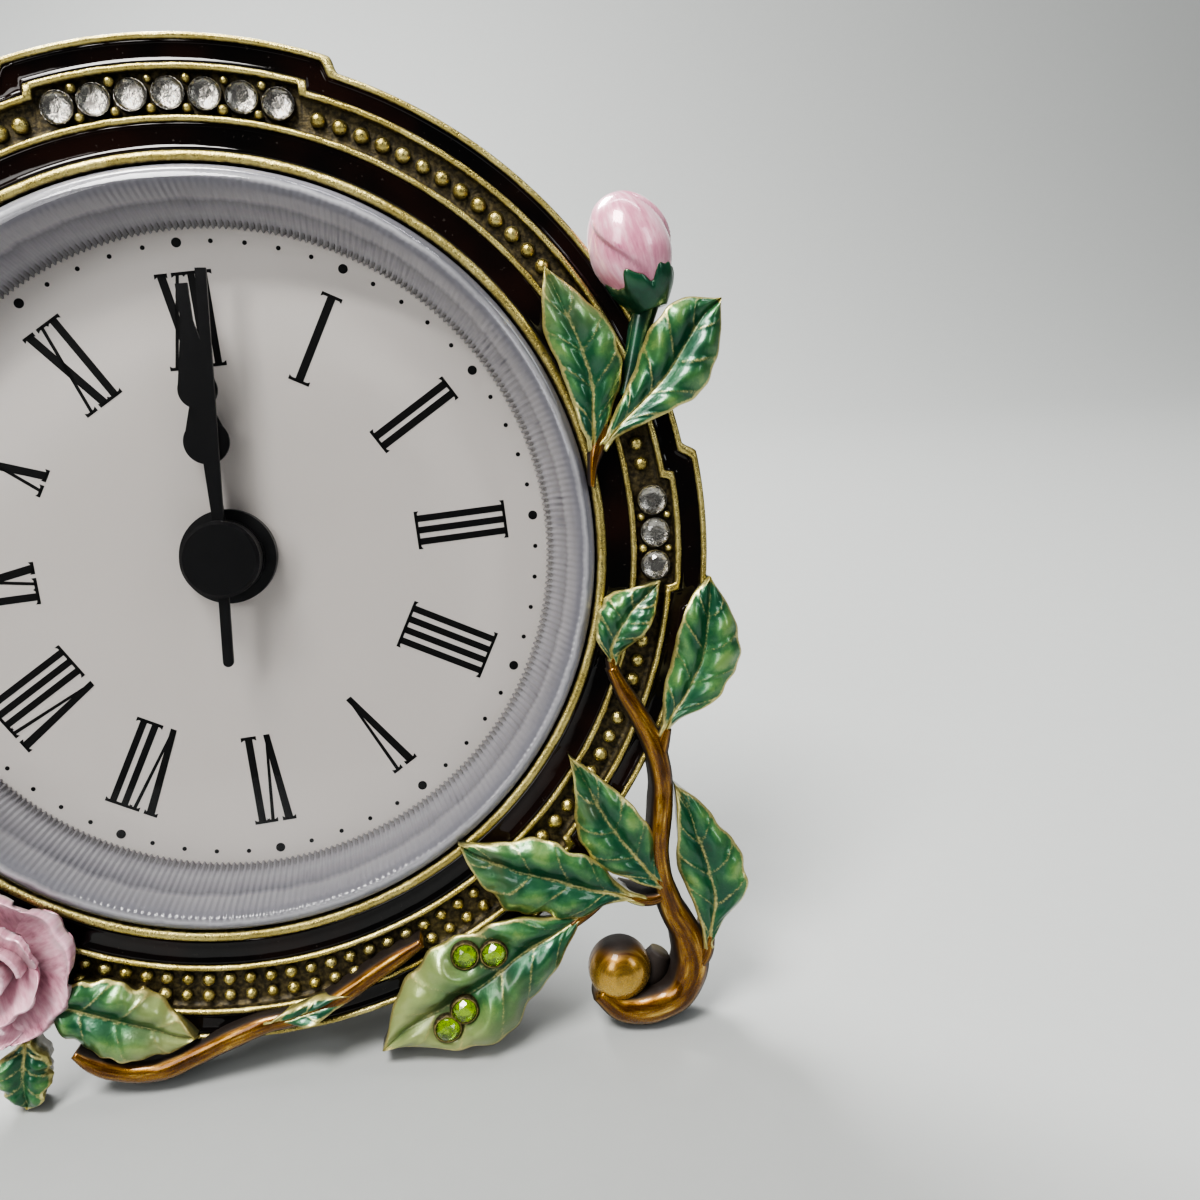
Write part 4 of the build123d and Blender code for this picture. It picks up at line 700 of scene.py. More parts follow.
glass_form = facet_form("glass_form", (
    (0.56, 0.62, 8, 0), (0.80, 0.44, 8, 0.5), (1.0, 0.18, 16, 0), (1.0, 0.08, 16, 0), (0.30, -0.28, 8, 0.5)), -0.40)
foil_form = facet_form("foil_form", (
    (1.06, 0.04, 16, 0), (0.98, 0.0, 16, 0), (0.62, -0.19, 8, 0), (0.30, -0.34, 8, 0.5)), -0.47)
setting = stone_tree()


def stone_glass(tint, tint_deep):
    """Clear glass with a slow change of tint."""
    def build(g):
        return g.skin(Base_Color=g.mix(g.noise(1.4, 3), tint, tint_deep), Roughness=0.02, IOR=1.6,
                      Transmission_Weight=1.0, Coat_Weight=0.5, Coat_Roughness=0.02)
    return build


def stone_foil(light, dark):
    """Crinkled foil with dull blotches."""
    def build(g):
        crinkle = g.noise(5.0, 3)
        blotch = g.noise(1.6, 4).step(0.48, 0.75)
        return g.skin(Base_Color=g.mix(blotch, light, dark), Metallic=1.0, Roughness=0.10 + blotch * 0.35,
                      Normal=g.bump(crinkle, 0.05, 0.6))
    return build


def set_stones(colour, places, radius, seed, glass, foil):
    """Two pieces, the glass and its foil, on the same seats."""
    for part, form, build in (("glass", glass_form, stone_glass(*glass)), ("foil", foil_form, stone_foil(*foil))):
        material = finish(f"{colour}_stone_{part}", build)
        piece = grow(f"{colour}_stones_{part}", setting, places, material, {
            "Form": form, "Stone radius": radius * MM, "Tilt": 0.05, "Seed": seed})
        dress(piece, material, f"{colour}_stone", f"{colour}_stones")


def along_rows(shares):
    """Angles of the three rows of stones, from places in steps: the top's first, then a side's."""
    top, side = shares
    return np.concatenate([90 + STONE_STEP * top] + [centre + STONE_STEP * side for centre in (0, 180)])


STONE_LINE, STONE_STEP, SEAT, LEAF_SEAT = 37.7, 4.362, 6.52, 8.75
clear_places = polar(STONE_LINE, along_rows((np.arange(-3, 4), np.arange(-1, 2))), SEAT)
green_shares = np.array(((0.444, -0.876), (0.505, -0.879), (0.434, -0.998), (0.396, -1.035)))
green_places = np.column_stack((green_shares * RING, np.full(4, LEAF_SEAT)))
set_stones("clear", clear_places, 1.24, 4, ((0.98, 0.97, 0.95), (0.90, 0.89, 0.86)),
           ((0.60, 0.58, 0.55), (0.07, 0.06, 0.05)))
set_stones("green", green_places, 1.08, 9, ((0.62, 0.80, 0.08), (0.48, 0.70, 0.04)),
           ((0.70, 0.86, 0.12), (0.14, 0.22, 0.01)))
for form in (glass_form, foil_form):
    bpy.data.objects.remove(form)

# %% [markdown]
# Each clear stone sits in a round collet, a thin raised lip that is cut into the bed, and small
# grains of metal pushed up between neighbours hold it. The collets are one more ring of points, and
# the grains are the same bead tree with smaller sizes.

# %% Collets and grains
def collet(name, places, radius, low, high, wall, steps=24):
    """Thin raised lips round the stones, all in one mesh."""
    rows = ((radius, low), (radius, high - 0.05), (radius + wall * 0.4, high), (radius + wall, high - 0.08),
            (radius + wall + 0.1, low))
    lip = np.concatenate([polar(r, np.arange(steps) * 360 / steps, z) for r, z in rows])
    points = np.concatenate([lip + np.array((x, y, 0)) for x, y, _ in places])
    one = grid_faces(len(rows), steps, True, True)
    faces = [[v + len(lip) * i for v in face] for i in range(len(places)) for face in one]
    crest = np.tile(np.repeat((0.0, 0.2, 0.6, 0.2, 0.0), steps), len(places))
    return mesh_object(name, points, faces, {"crest": crest})


dress(collet("stone_collets", clear_places, 1.22, 6.0, 6.6, 0.07), gilt, "gilt_casting", "frame_casting")
dress(collet("leaf_collets", green_places, 1.06, 7.6, 9.0, 0.22), gilt, "gilt_casting")
gaps = along_rows((np.arange(6) - 2.5, np.arange(2) - 0.5))
GRAIN_OFF_LINE, GRAIN_SEAT = 1.15, 6.35
grain_places = np.concatenate([polar(STONE_LINE + side * GRAIN_OFF_LINE, gaps, GRAIN_SEAT) for side in (-1, 1)])
set_beads("stone_grains", grain_places, 0.40, 0.52, 0.2, 5)

# %% [markdown]
# ## Leaves
#
# The leaves are cast with raised margins, a midrib and side veins, then filled with translucent green
# enamel and wiped so that the metal shows on every raised line. Each leaf here is a grid: one
# direction runs from base to tip and the other round its section. The outline is smoothed from the
# CAD leaf's widths, and the crowned halves, veins and rubbed margin are heights added to the grid.
# The same heights also give the marks that the enamel's colour follows: gold on raised lines, deep
# green in hollows, pale towards the tip.

# %% Leaf table
# Base and tip in shares of the ring's radius, then the left and right half widths in hundredths of
# the leaf's length at the five inner stops.
LEAF_EDGE, LEAF_BACK = 7.95, 5.5
LEAF_STOPS = (0.0, 0.12, 0.3, 0.5, 0.7, 0.88, 1.0)
LEAVES = {
    "bud_left_leaf": ((0.789, 0.180), (0.709, 0.556), (4, 5, 7, 9, 5), (11, 23, 27, 22, 10)),
    "bud_right_leaf": ((0.806, 0.184), (1.075, 0.481), (5, 9, 15, 20, 14), (4, 12, 21, 20, 10)),
    "small_leaf": ((0.801, -0.272), (0.915, -0.102), (26, 37, 42, 32, 13), (4, 9, 13, 12, 5)),
    "side_leaf": ((0.903, -0.444), (1.024, -0.100), (4, 8, 8, 11, 7), (6, 22, 30, 28, 14)),
    "inner_leaf": ((0.893, -0.786), (0.697, -0.468), (9, 20, 25, 17, 6), (4, 12, 14, 10, 5)),
    "outer_leaf": ((0.983, -0.934), (0.925, -0.551), (2, 4, 8, 6, 2), (10, 26, 29, 21, 11)),
    "bridge_leaf": ((0.845, -0.808), (0.447, -0.636), (3, 17, 23, 23, 11), (3, 12, 16, 13, 4)),
    "jewelled_leaf": ((0.704, -0.825), (0.252, -1.080), (8, 16, 24, 19, 6), (9, 20, 24, 23, 11)),
    "rose_right_leaf": ((-0.413, -0.886), (-0.129, -1.000), (19, 26, 26, 21, 10), (19, 25, 26, 21, 13)),
    "rose_lower_leaf": ((-0.466, -0.956), (-0.481, -1.112), (13, 29, 31, 28, 20), (13, 31, 37, 33, 20)),
    "vine_sheath": ((0.010, -0.991), (0.205, -0.945), (5, 9, 11, 10, 5), (5, 11, 13, 10, 5)),
}
print("leaf forms:", len(LEAVES))


# %% Leaf grid
def ridge(distance, width):
    """A rounded raised line: 1 on the line and 0 away from it."""
    return np.exp(-(distance / width) ** 2)


def leaf_mesh(name, form, mirror=False, veins=5, wave=0.6, phase=0.0, lobes=0.03, pale=0.5, seats=()):
    """A leaf from its row of the table. Heights are in millimetres."""
    base, tip, *sides = LEAVES[form]
    base, tip = np.array(base) * RING, np.array(tip) * RING
    length = np.hypot(*(tip - base))
    ahead = (tip - base) / length
    u = np.linspace(0, 1, 97)[:, None]
    w = np.concatenate((np.linspace(-1, -0.9, 4)[:-1], np.linspace(-0.9, 0.9, 39), np.linspace(0.9, 1, 4)[1:]))
    lobe = 1 + lobes * np.sin(math.tau * 3.4 * u + phase) + lobes * 0.6 * np.sin(math.tau * 7.3 * u + 2 * phase)
    foot = 0.04 + 0.5 * (1 - u) ** 4
    widths = [smooth_line(u[:, 0], LEAF_STOPS, np.array((0, *side, 0)) / 100)[:, None] for side in sides]
    left, right = (np.maximum(width * length * lobe, foot) for width in widths)
    middle = 0.8 * (left - right) / 2
    reach = np.where(w > 0, left - middle, right + middle)
    inside, from_edge = np.abs(w) * reach, (1 - np.abs(w)) * reach
    taper = np.sin(np.pi * np.clip(u, 0, 1)) ** 0.5

    along = (u - 0.17 * np.abs(w)) * veins + phase
    vein = ridge((along - np.round(along)) * length / veins, 0.24)
    vein = vein * np.clip(inside / 0.5, 0, 1) * np.clip(from_edge / 0.5, 0, 1)
    quilt = (0.5 - 0.5 * np.cos(math.tau * along)) * np.sin(np.pi * np.abs(w)) ** 0.7
    puff = 0.31 * reach * (1 - (2 * np.abs(w) - 1) ** 2)
    margin = ridge(from_edge, 0.30)
    midrib = ridge(inside, 0.22) * (1 - 0.6 * u)
    sway = wave * np.sin(math.tau * 1.15 * u + phase) * w
    sway = sway + wave * 0.5 * np.sin(math.tau * 2.3 * u + 1.7 * phase) * np.abs(w)
    top = LEAF_EDGE + puff + 0.14 * margin + 0.30 * midrib * taper + 0.12 * vein + 0.20 * quilt
    top = top + sway * taper * np.abs(w) - 0.30 * (1 - taper)

    under = np.linspace(1, -1, 9)
    tuck = np.where(np.abs(under) > 0.9, 0.80, 1.0)
    under_across = middle + under * 0.86 * np.where(under > 0, left - middle, right + middle) * tuck / 0.9
    under_out = np.full_like(under_across, LEAF_BACK)
    under_out[:, (0, -1)] += 1.1
    across = np.concatenate((middle + w * reach, under_across), 1)
    out = np.concatenate((top, under_out), 1)
    spot = base + (u * length)[..., None] * ahead + across[..., None] * side_way(ahead)
    for x, y, _ in seats:
        away = np.hypot(spot[..., 0] - x, spot[..., 1] - y)
        flat = out - (out - LEAF_EDGE - 0.35) * np.clip(1.6 - away / 1.4, 0, 1)
        out = np.where(out > LEAF_EDGE - 1, flat, out)

    def both(front, back):
        return np.concatenate((np.broadcast_to(front, top.shape), np.full_like(under_out, back)), 1)

    marks = {
        "gold": both(np.clip(margin + 0.8 * midrib + 0.5 * vein, 0, 1), 0),
        "deep": both(np.clip(0.75 * ridge(inside - 0.5, 0.8) + 0.45 * (1 - quilt) + 0.35 * (1 - u), 0, 1), 1),
        "pale": both(pale * u**1.6 * (0.5 + 0.5 * np.abs(w)), 0),
        "under": both(0, 1),
        "along": u * length,
        "across": across,
    }
    return mesh_object(name, np.concatenate((spot, out[..., None]), -1), marks=marks, mirror=mirror)


# %% Leaf enamel
BRONZE = (0.030, 0.023, 0.010), (0.150, 0.118, 0.050)


def leaf_enamel_skin(g):
    """Translucent green over bright metal, wiped off the raised lines, bronze underneath."""
    silk = g.streaks(g.mark("along"), g.mark("across"), 1.6, 5, 0.7, 1.2)
    cloud = g.noise(0.30, 2)
    fine = g.noise(4.0, 4)
    depth = g.mark("deep") * 0.55 + (cloud - 0.5) * 1.3 + (silk - 0.5) * 0.5
    green = g.ramp(depth, (0.0, (0.15, 0.27, 0.08)), (0.20, (0.055, 0.165, 0.052)), (0.45, (0.014, 0.085, 0.033)),
                   (0.7, (0.006, 0.062, 0.030)), (1.0, (0.003, 0.024, 0.014)))
    green = g.mix(silk.step(0.58, 0.80) * 0.20, green, (0.22, 0.42, 0.18))
    green = g.mix((g.mark("pale") * 1.1 + (cloud - 0.5) * 0.7).step(0.15, 1.0) * 0.75, green, (0.36, 0.40, 0.15))
    gold = (g.mark("gold") * 1.2 + (fine - 0.5) * 0.9 + (cloud - 0.5) * 0.6).step(0.35, 0.95)
    colour = g.mix(gold * 0.94, green, g.mix(fine, (0.34, 0.30, 0.085), (0.68, 0.62, 0.28)))
    colour = g.mix(g.mark("under"), colour, g.mix(fine, *BRONZE))
    return g.skin(Base_Color=colour, Metallic=0.42 + gold * 0.4, Roughness=0.33 + gold * 0.06 + (fine - 0.5) * 0.12,
                  Coat_Weight=0.45, Coat_Roughness=0.10, Normal=g.bump(silk * 0.6 + fine * 0.4, 0.06, 0.6))


leaf_enamel = finish("leaf_enamel", leaf_enamel_skin)

# %% Leaves on the frame
FOLIAGE = {
    "bud_left_leaf": {"phase": 0.4, "pale": 0.75},
    "bud_right_leaf": {"phase": 2.1, "pale": 0.1},
    "bridge_leaf": {"phase": 1.0, "lobes": 0.07, "wave": 0.5},
    "jewelled_leaf": {"phase": 2.6, "lobes": 0.05, "pale": 1.5, "veins": 6, "seats": green_places},
    "rose_right_leaf": {"phase": 0.2, "lobes": 0.05, "pale": 1.5, "veins": 4},
    "rose_lower_leaf": {"phase": 1.5, "lobes": 0.08, "pale": 0.3, "veins": 4},
}
PAIRED = {
    "small_leaf": {"phase": 0.9, "pale": 0.4}, "side_leaf": {"phase": 2.2, "pale": 0.2},
    "inner_leaf": {"phase": 0.6, "pale": 0.5}, "outer_leaf": {"phase": 1.8, "pale": 0.3},
}
for form, options in FOLIAGE.items():
    dress(leaf_mesh("enamelled_" + form, form, **options), leaf_enamel, "green_enamel", form)
for side, mirror in (("right", False), ("left", True)):
    for form, options in PAIRED.items():
        leaf = leaf_mesh(f"enamelled_{side}_{form}", form, mirror, **options)
        dress(leaf, leaf_enamel, "green_enamel", f"{side}_{form}")
dress(leaf_mesh("vine_sheath", "vine_sheath", phase=0.7, pale=0.2, veins=3), leaf_enamel, "green_enamel")

# %% [markdown]
# ## Vines
#
# The stems are half-round on top and deeper than they are wide, with amber enamel over the gold. Their
# colour has painted shade in it: near black along their sides and underneath, where they meet what
# lies behind. A section carried along a smooth line through the CAD stations makes one, and the right
# stem thickens into the curled foot with its ball.

# %% Stem sweep
VINE_BACK, VINE_TOP = 3.2, 8.25


def stem_mesh(name, stations, mirror=False, rows=120, columns=28, low=VINE_BACK, top=VINE_TOP,
              droop=0.0, dark=0.0, **marks):
    """A stem along stations of x, y and half width, in shares of the ring's radius and in mm.

    It can droop towards its end, have its painted shade deepened everywhere by dark, and carry more marks.
    """
    stations = np.array(stations, float)
    spots = stations[:, :2] * RING
    stops = np.concatenate(([0], np.cumsum(np.hypot(*np.diff(spots, axis=0).T))))
    t = np.linspace(0, stops[-1], rows)
    line = smooth_line(t, stops, spots)
    half = smooth_line(t, stops, stations[:, 2])[:, None]
    way = np.gradient(line, t, axis=0)
    way /= np.hypot(*way.T)[:, None]
    t = t[:, None]
    spin = np.arange(columns) * math.tau / columns
    side, up = np.cos(spin), np.sin(spin)
    knot = 1 + 0.03 * np.sin(t * 0.9) + 0.012 * np.sin(t * 2.3 + 1)
    spring = top - droop * (t / stops[-1]) ** 14 - half
    out = np.where(up < 0, spring - (np.abs(up) ** 0.5) * (spring - low), spring + up * half * knot)
    spot = line[:, None] + (side * half * knot)[..., None] * side_way(way)[:, None]
    # The shade mark is painted shade: it grows towards the sides, is full underneath, and dark adds to it.
    marks |= {"along": t, "round": spin, "bare": np.clip(-1.5 - 4 * up, 0, 1),
              "shade": np.clip(1.15 * np.abs(side) ** 2.4 + (up < 0) + dark, 0, 1)}
    return mesh_object(name, np.concatenate((spot, out[..., None]), -1), marks=marks, mirror=mirror)


RIGHT_VINE = (
    (0.799, -0.282, 0.50), (0.823, -0.335, 0.75), (0.859, -0.403, 0.95), (0.886, -0.468, 1.00),
    (0.898, -0.541, 1.00), (0.893, -0.614, 1.00), (0.884, -0.687, 0.90), (0.888, -0.765, 0.95),
    (0.905, -0.833, 1.20), (0.937, -0.905, 1.50), (0.945, -0.976, 1.65), (0.913, -1.041, 1.70),
    (0.845, -1.066, 1.60), (0.782, -1.060, 1.35), (0.735, -1.022, 0.95))
# Stations of a near-black plate of painted shadow in the hollow of the foot's curl.
FOOT_SHADOW_PLATE = ((0.884, -0.962, 0.9), (0.876, -0.978, 1.2), (0.866, -1.000, 1.4), (0.848, -1.018, 1.2))
BOTTOM_VINE = (
    (-0.375, -1.003, 0.40), (-0.345, -1.032, 0.75), (-0.291, -1.058, 0.95), (-0.218, -1.066, 1.00),
    (-0.133, -1.041, 1.00), (-0.049, -1.010, 1.00), (0.012, -0.990, 0.90), (0.073, -0.983, 0.90),
    (0.133, -0.968, 0.80), (0.182, -0.944, 0.90), (0.243, -0.908, 0.90), (0.303, -0.874, 0.80),
    (0.354, -0.845, 0.50))
BALL = np.array((0.786, -0.981)) * RING


def amber_skin(g):
    """Amber over gold, in streaks along the stem, with painted shade near black and a painted highlight."""
    streak = g.streaks(g.mark("along") * 0.16, g.mark("round") * 1.5, 1.5, 6, 0.65)
    fleck = g.noise(3.5, 4)
    amber = g.ramp(streak, (0.28, (0.030, 0.010, 0.001)), (0.45, (0.125, 0.046, 0.004)),
                   (0.58, (0.30, 0.150, 0.016)), (0.74, (0.82, 0.58, 0.18)))
    # The gilt mark is a painted highlight: pale gold on the ball's lower side.
    amber = g.mix(g.mark("gilt") * 0.75, amber, (0.80, 0.54, 0.12))
    # Painted shade: the stems' sides and undersides, the ball's upper side and the curl's dark plate go near black.
    shade = (g.mark("shade") + (streak - 0.5) * 0.6).step(0.30, 0.90)
    colour = g.mix(g.mark("bare"), g.mix(shade, amber, (0.010, 0.005, 0.003)), g.mix(fleck, *BRONZE))
    return g.skin(Base_Color=colour, Metallic=0.8 - shade * 0.6, Roughness=0.28 + shade * 0.4 + (fleck - 0.5) * 0.15,
                  Coat_Weight=0.5 - shade * 0.5, Coat_Roughness=0.05,
                  Normal=g.bump(streak * 0.7 + fleck * 0.3, 0.03, 0.5))


amber = finish("amber_enamel", amber_skin)


def ball_mesh(radius, mirror, rows=36, columns=40, wall=0.35, crown=0.92, tip=0.002):
    """A round-headed ball on its own wall, streaked round it, with painted shade and a painted highlight."""
    t = np.linspace(0, 1, rows)[:, None]
    climb = (t - wall) / (1 - wall) * math.pi / 2
    size = np.where(t > wall, np.cos(climb), 1 - 0.25 * (1 - t / wall) ** 3)
    head = radius * crown
    spring = VINE_TOP - head
    out = np.where(t > wall, spring + head * np.sin(climb), VINE_BACK + (spring - VINE_BACK) * t / wall)
    spin = np.arange(columns) * math.tau / columns
    wide, upward = radius * np.maximum(size, tip), size * np.sin(spin)
    points = np.stack(np.broadcast_arrays(BALL[0] + wide * np.cos(spin), BALL[1] + wide * np.sin(spin), out), -1)
    # Painted light: the shade mark darkens the ball's upper side and its wall's foot, the gilt mark paints a pale
    # gold highlight on its lower side.
    marks = {"along": spin * radius * 0.5, "round": t * 6, "bare": t < 0.05,
             "gilt": np.clip(0.55 - 0.75 * upward, 0, 1) * (t > 0.4),
             "shade": np.clip(np.maximum(1.15 - 2.6 * t, 1.35 * upward - 0.35), 0, 1)}
    return mesh_object("ball", points, marks=marks, mirror=mirror)


for side, mirror in (("right", False), ("left", True)):
    stem = stem_mesh("stem", RIGHT_VINE, mirror, rows=200, droop=1.1)
    ball = ball_mesh(2.9, mirror)
    # A plate of painted shadow, near black all over, fills the hollow between the ball and the curl.
    web = stem_mesh("web", FOOT_SHADOW_PLATE, mirror, rows=24, top=6.1, dark=1.0)
    dress(join(f"{side}_vine_with_foot", stem, ball, web), amber, "amber_enamel", f"{side}_vine")
dress(stem_mesh("bottom_vine_stem", BOTTOM_VINE, rows=140), amber, "amber_enamel", "bottom_vine")

# %% Leaf stalks
RIGHT_STALKS = (
    ((0.800, -0.262, 0.45), (0.806, -0.290, 0.55), (0.818, -0.320, 0.5)),
    ((0.912, -0.425, 0.50), (0.900, -0.465, 0.70), (0.888, -0.510, 0.6)),
    ((0.986, -0.905, 0.50), (0.975, -0.945, 0.75), (0.945, -0.985, 0.7)),
    ((0.880, -0.765, 0.45), (0.893, -0.795, 0.60), (0.900, -0.825, 0.5)),
)
BRIDGE_STALK = ((0.800, -0.792, 0.40), (0.840, -0.806, 0.60), (0.870, -0.806, 0.60), (0.898, -0.795, 0.5))
BUD_STALK = ((0.812, 0.235, 0.50), (0.797, 0.190, 0.75), (0.786, 0.150, 0.45), (0.781, 0.105, 0.25))
JEWELLED_STALK = ((0.680, -0.845, 0.40), (0.712, -0.822, 0.60), (0.745, -0.800, 0.45))


def stalk(stations, mirror=False):
    """A short stalk under a leaf's foot, with its painted shade deepened a little beyond the vine's."""
    return stem_mesh("stalk", stations, mirror, rows=24, columns=16, top=8.1, dark=0.22)


for side, mirror, others in (("right", False, (BRIDGE_STALK, BUD_STALK, JEWELLED_STALK)), ("left", True, ())):
    stalks = [stalk(stations, mirror) for stations in RIGHT_STALKS] + [stalk(stations) for stations in others]
    dress(join(f"{side}_leaf_stalks", *stalks), amber, "amber_enamel")

# %% [markdown]
# ## Rosebud
#
# The bud is three petals wrapped round each other: an egg whose radius jumps a little along three
# slanting lines. Its enamel is pearl pink, in white streaks that run lengthwise. A green calyx holds
# it, with five uneven sepals whose edge is a wave in the height at which the shell ends.

# %% Bud and calyx
BUD_BASE = np.array((0.920, 0.497)) * RING
BUD_HEADING, BUD_LENGTH, BUD_RADIUS, BUD_BELLY = math.radians(107), 8.8, 3.4, 0.44
spin = np.arange(96) * math.tau / 96


def on_bud(t, radius):
    """Points round the bud's axis, from shares of its length and radii."""
    c, s = math.cos(BUD_HEADING), math.sin(BUD_HEADING)
    along, side = t * BUD_LENGTH, radius * np.cos(spin)
    right, up = BUD_BASE[0] + along * c - side * s, BUD_BASE[1] + along * s + side * c
    return np.stack(np.broadcast_arrays(right, up, RIM + radius * np.sin(spin)), -1)


def bud_mesh(rows=90):
    """The wrapped bud."""
    t = np.linspace(0, 1, rows)[:, None] ** 0.9
    turn = (spin * 3 / math.tau + 0.9 * t + 0.15) % 1
    edge = np.clip((turn - 0.02) / 0.06, 0, 1) * (1 - turn)
    tip = np.sqrt(np.clip(1 - ((t - BUD_BELLY) / (1 - BUD_BELLY)) ** 2, 0, 1)) ** 0.92
    egg = np.where(t < BUD_BELLY, 0.55 + 0.45 * np.sin(t / BUD_BELLY * math.pi / 2), tip)
    radius = BUD_RADIUS * egg + 0.42 * edge * np.sin(np.pi * t) ** 0.8
    # The fold mark is painted shade in the crease along each petal's edge.
    marks = {"along": t * BUD_LENGTH, "round": spin * BUD_RADIUS, "fold": np.clip(1 - turn * 12, 0, 1)}
    return mesh_object("rosebud_petals", on_bud(t, radius), marks=marks)


def pearl_skin(light, mid, dark, stretch):
    """Pearly enamel that runs in streaks along the petal, with painted shade in its folds."""
    def build(g):
        streak = g.streaks(g.mark("along") * stretch, g.mark("round"), 1.9, 5, 0.6)
        tone = streak * 0.7 + g.noise(0.35, 3) * 0.5 - 0.1
        # The fold mark paints shade: the colour goes towards the dark stop where it is high.
        colour = g.mix(g.mark("fold") * 0.75, g.ramp(tone, (0.28, dark), (0.48, mid), (0.68, light)), dark)
        return g.skin(Base_Color=colour, Metallic=0.12, Roughness=0.30 + (streak - 0.5) * 0.15, Sheen_Weight=0.3,
                      Coat_Weight=1.0, Coat_Roughness=0.05, Normal=g.bump(streak, 0.05, 0.5))
    return build


bud_pink = finish("pearl_pink", pearl_skin((0.82, 0.51, 0.59), (0.64, 0.25, 0.35), (0.44, 0.12, 0.21), 0.22))
dress(bud_mesh(), bud_pink, "pink_enamel", "rosebud")


def calyx_mesh(rows=28, below=0.16):
    """The cup of sepals, thin at its ragged edge, closed over the bud's base."""
    s = np.linspace(0, 1, rows)[:, None]
    lobe = 2.5 * spin + 0.4
    ragged = 0.10 + 0.11 * np.abs(np.cos(lobe)) ** 1.3 + 0.03 * np.sin(7 * spin) + 0.02 * np.sin(13 * spin + 1)
    t = -below + s * (ragged + below)
    neck = 0.25 + 0.30 * np.clip((t + below) / below, 0, 1)
    cup = np.where(t < 0, neck, 0.55 + 0.45 * np.sin(np.clip(t / BUD_BELLY, 0, 1) * math.pi / 2))
    outer = BUD_RADIUS * cup + 0.52 * (1 - s**4) + 0.16 - 0.10 * np.abs(np.sin(lobe)) * (1 - s)
    inner = BUD_RADIUS * cup - 0.25
    t = np.concatenate((t, t[::-1] + 0.01))
    gold = np.concatenate((np.clip(s * 6 - 5.3, 0, 1) * 0.5, np.zeros((rows, 1))))
    marks = {"gold": gold, "deep": 1.1, "along": t * BUD_LENGTH, "across": spin * BUD_RADIUS}
    points = on_bud(t, np.concatenate((outer, inner[::-1])))
    return mesh_object("calyx_cup", points, grid_faces(2 * rows, len(spin), True, True), marks)


BUD_STEM = ((0.922, 0.490, 1.3), (0.903, 0.425, 1.0), (0.881, 0.345, 0.8), (0.864, 0.289, 0.6))
bud_stem = stem_mesh("bud_stem", BUD_STEM, rows=40, columns=24, low=RIM - 1.6, top=RIM + 0.55, deep=1.5)
dress(join("calyx_and_stem", calyx_mesh(), bud_stem), leaf_enamel, "calyx_enamel", "bud_calyx")

# %% [markdown]
# ## Rose
#
# The rose is an open flower: outer petals that dip and curl up at the lip, inner petals that stand
# round a rolled heart. Every petal is one closed sheet: a grid for its face, a second grid for its
# back, and faces that close the edges between them.

# %% Petals
ROSE = np.array((-0.505, -0.800)) * RING


def petal_mesh(angle, reach, width, base_out, rise, cup, curl, seed, thick):
    """A cupped petal from the rose's middle outwards, all sizes in mm."""
    rng = np.random.default_rng(seed)
    u = np.linspace(0, 1, 41)[:, None]
    w = np.linspace(-1, 1, 41)
    notch = 1 - 0.10 * np.exp(-(w / 0.25) ** 2) * rng.uniform(0.3, 1)
    along = 0.12 * reach + u * reach * (1 - 0.20 * np.abs(w) ** 2.4) * notch
    across = w * width * np.sin(np.pi * (0.16 + 0.60 * u)) ** 0.9
    height = base_out + rise * (0.2 + 0.8 * np.sin(np.pi / 2 * u) ** 2) + cup * (w**2) * (0.35 + u)
    height = height + curl * np.clip((u - 0.72) / 0.28, 0, 1) ** 2 * (1 - 1.6 * np.clip((u - 0.9) / 0.1, 0, 1) ** 2)
    height = height + 0.12 * np.sin(4 * w + rng.uniform(0, 6)) * u**2
    back = height - thick * (1 - 0.55 * u**3) - 0.1
    ahead = np.array((math.cos(math.radians(angle)), math.sin(math.radians(angle))))

    def sheet(along, across, height):
        spot = ROSE + along[..., None] * ahead + across[..., None] * side_way(ahead)
        return np.concatenate((spot, height[..., None]), -1)

    points = (sheet(along, across, height), sheet(along - 0.15 * u, across * 0.97, back)[:, ::-1])
    # The fold mark is painted shade: dark towards the rose's middle, and on the petals' backs.
    fold = np.broadcast_to(np.clip(1.15 - 1.5 * u, 0, 1), across.shape)
    marks = {"along": u * reach, "round": np.concatenate((across, across[:, ::-1]), 1) + angle,
             "fold": np.concatenate((fold, np.full_like(fold, 0.7)), 1)}
    return mesh_object("petal", np.concatenate(points, 1), marks=marks)


def heart_mesh(radius=2.5, low=RIM, top=10.3, turns=1.5, rows=16, columns=150, wall=0.36):
    """The rolled heart: one strip of petal wound in a spiral."""
    t = np.linspace(0, 1, columns)
    s = np.linspace(0, 1, rows)[:, None]
    turn = math.tau * turns * t
    height = low + (top - low) * s + 0.35 * t * s + 0.12 * np.sin(3 * turn) * s
    sides = []
    for side in (wall, -wall):
        r = radius * (1 - 0.78 * t) + 0.35 * (s - 0.5) + side * (1 - 0.5 * s)
        sides.append(np.stack((ROSE[0] + r * np.cos(turn), ROSE[1] + r * np.sin(turn), height), -1))
    first = [i * columns for i in range(2 * rows)]
    faces = grid_faces(2 * rows, columns, True, False) + [first, [i + columns - 1 for i in reversed(first)]]
    up_and_down = np.concatenate((s, s[::-1]))
    # The fold mark is painted shade, darkest low in the heart.
    marks = {"along": up_and_down * 3, "round": turn * radius, "fold": np.clip((1 - up_and_down) * 1.2, 0, 1)}
    return mesh_object("heart", np.concatenate((sides[0], sides[1][::-1])), faces, marks)


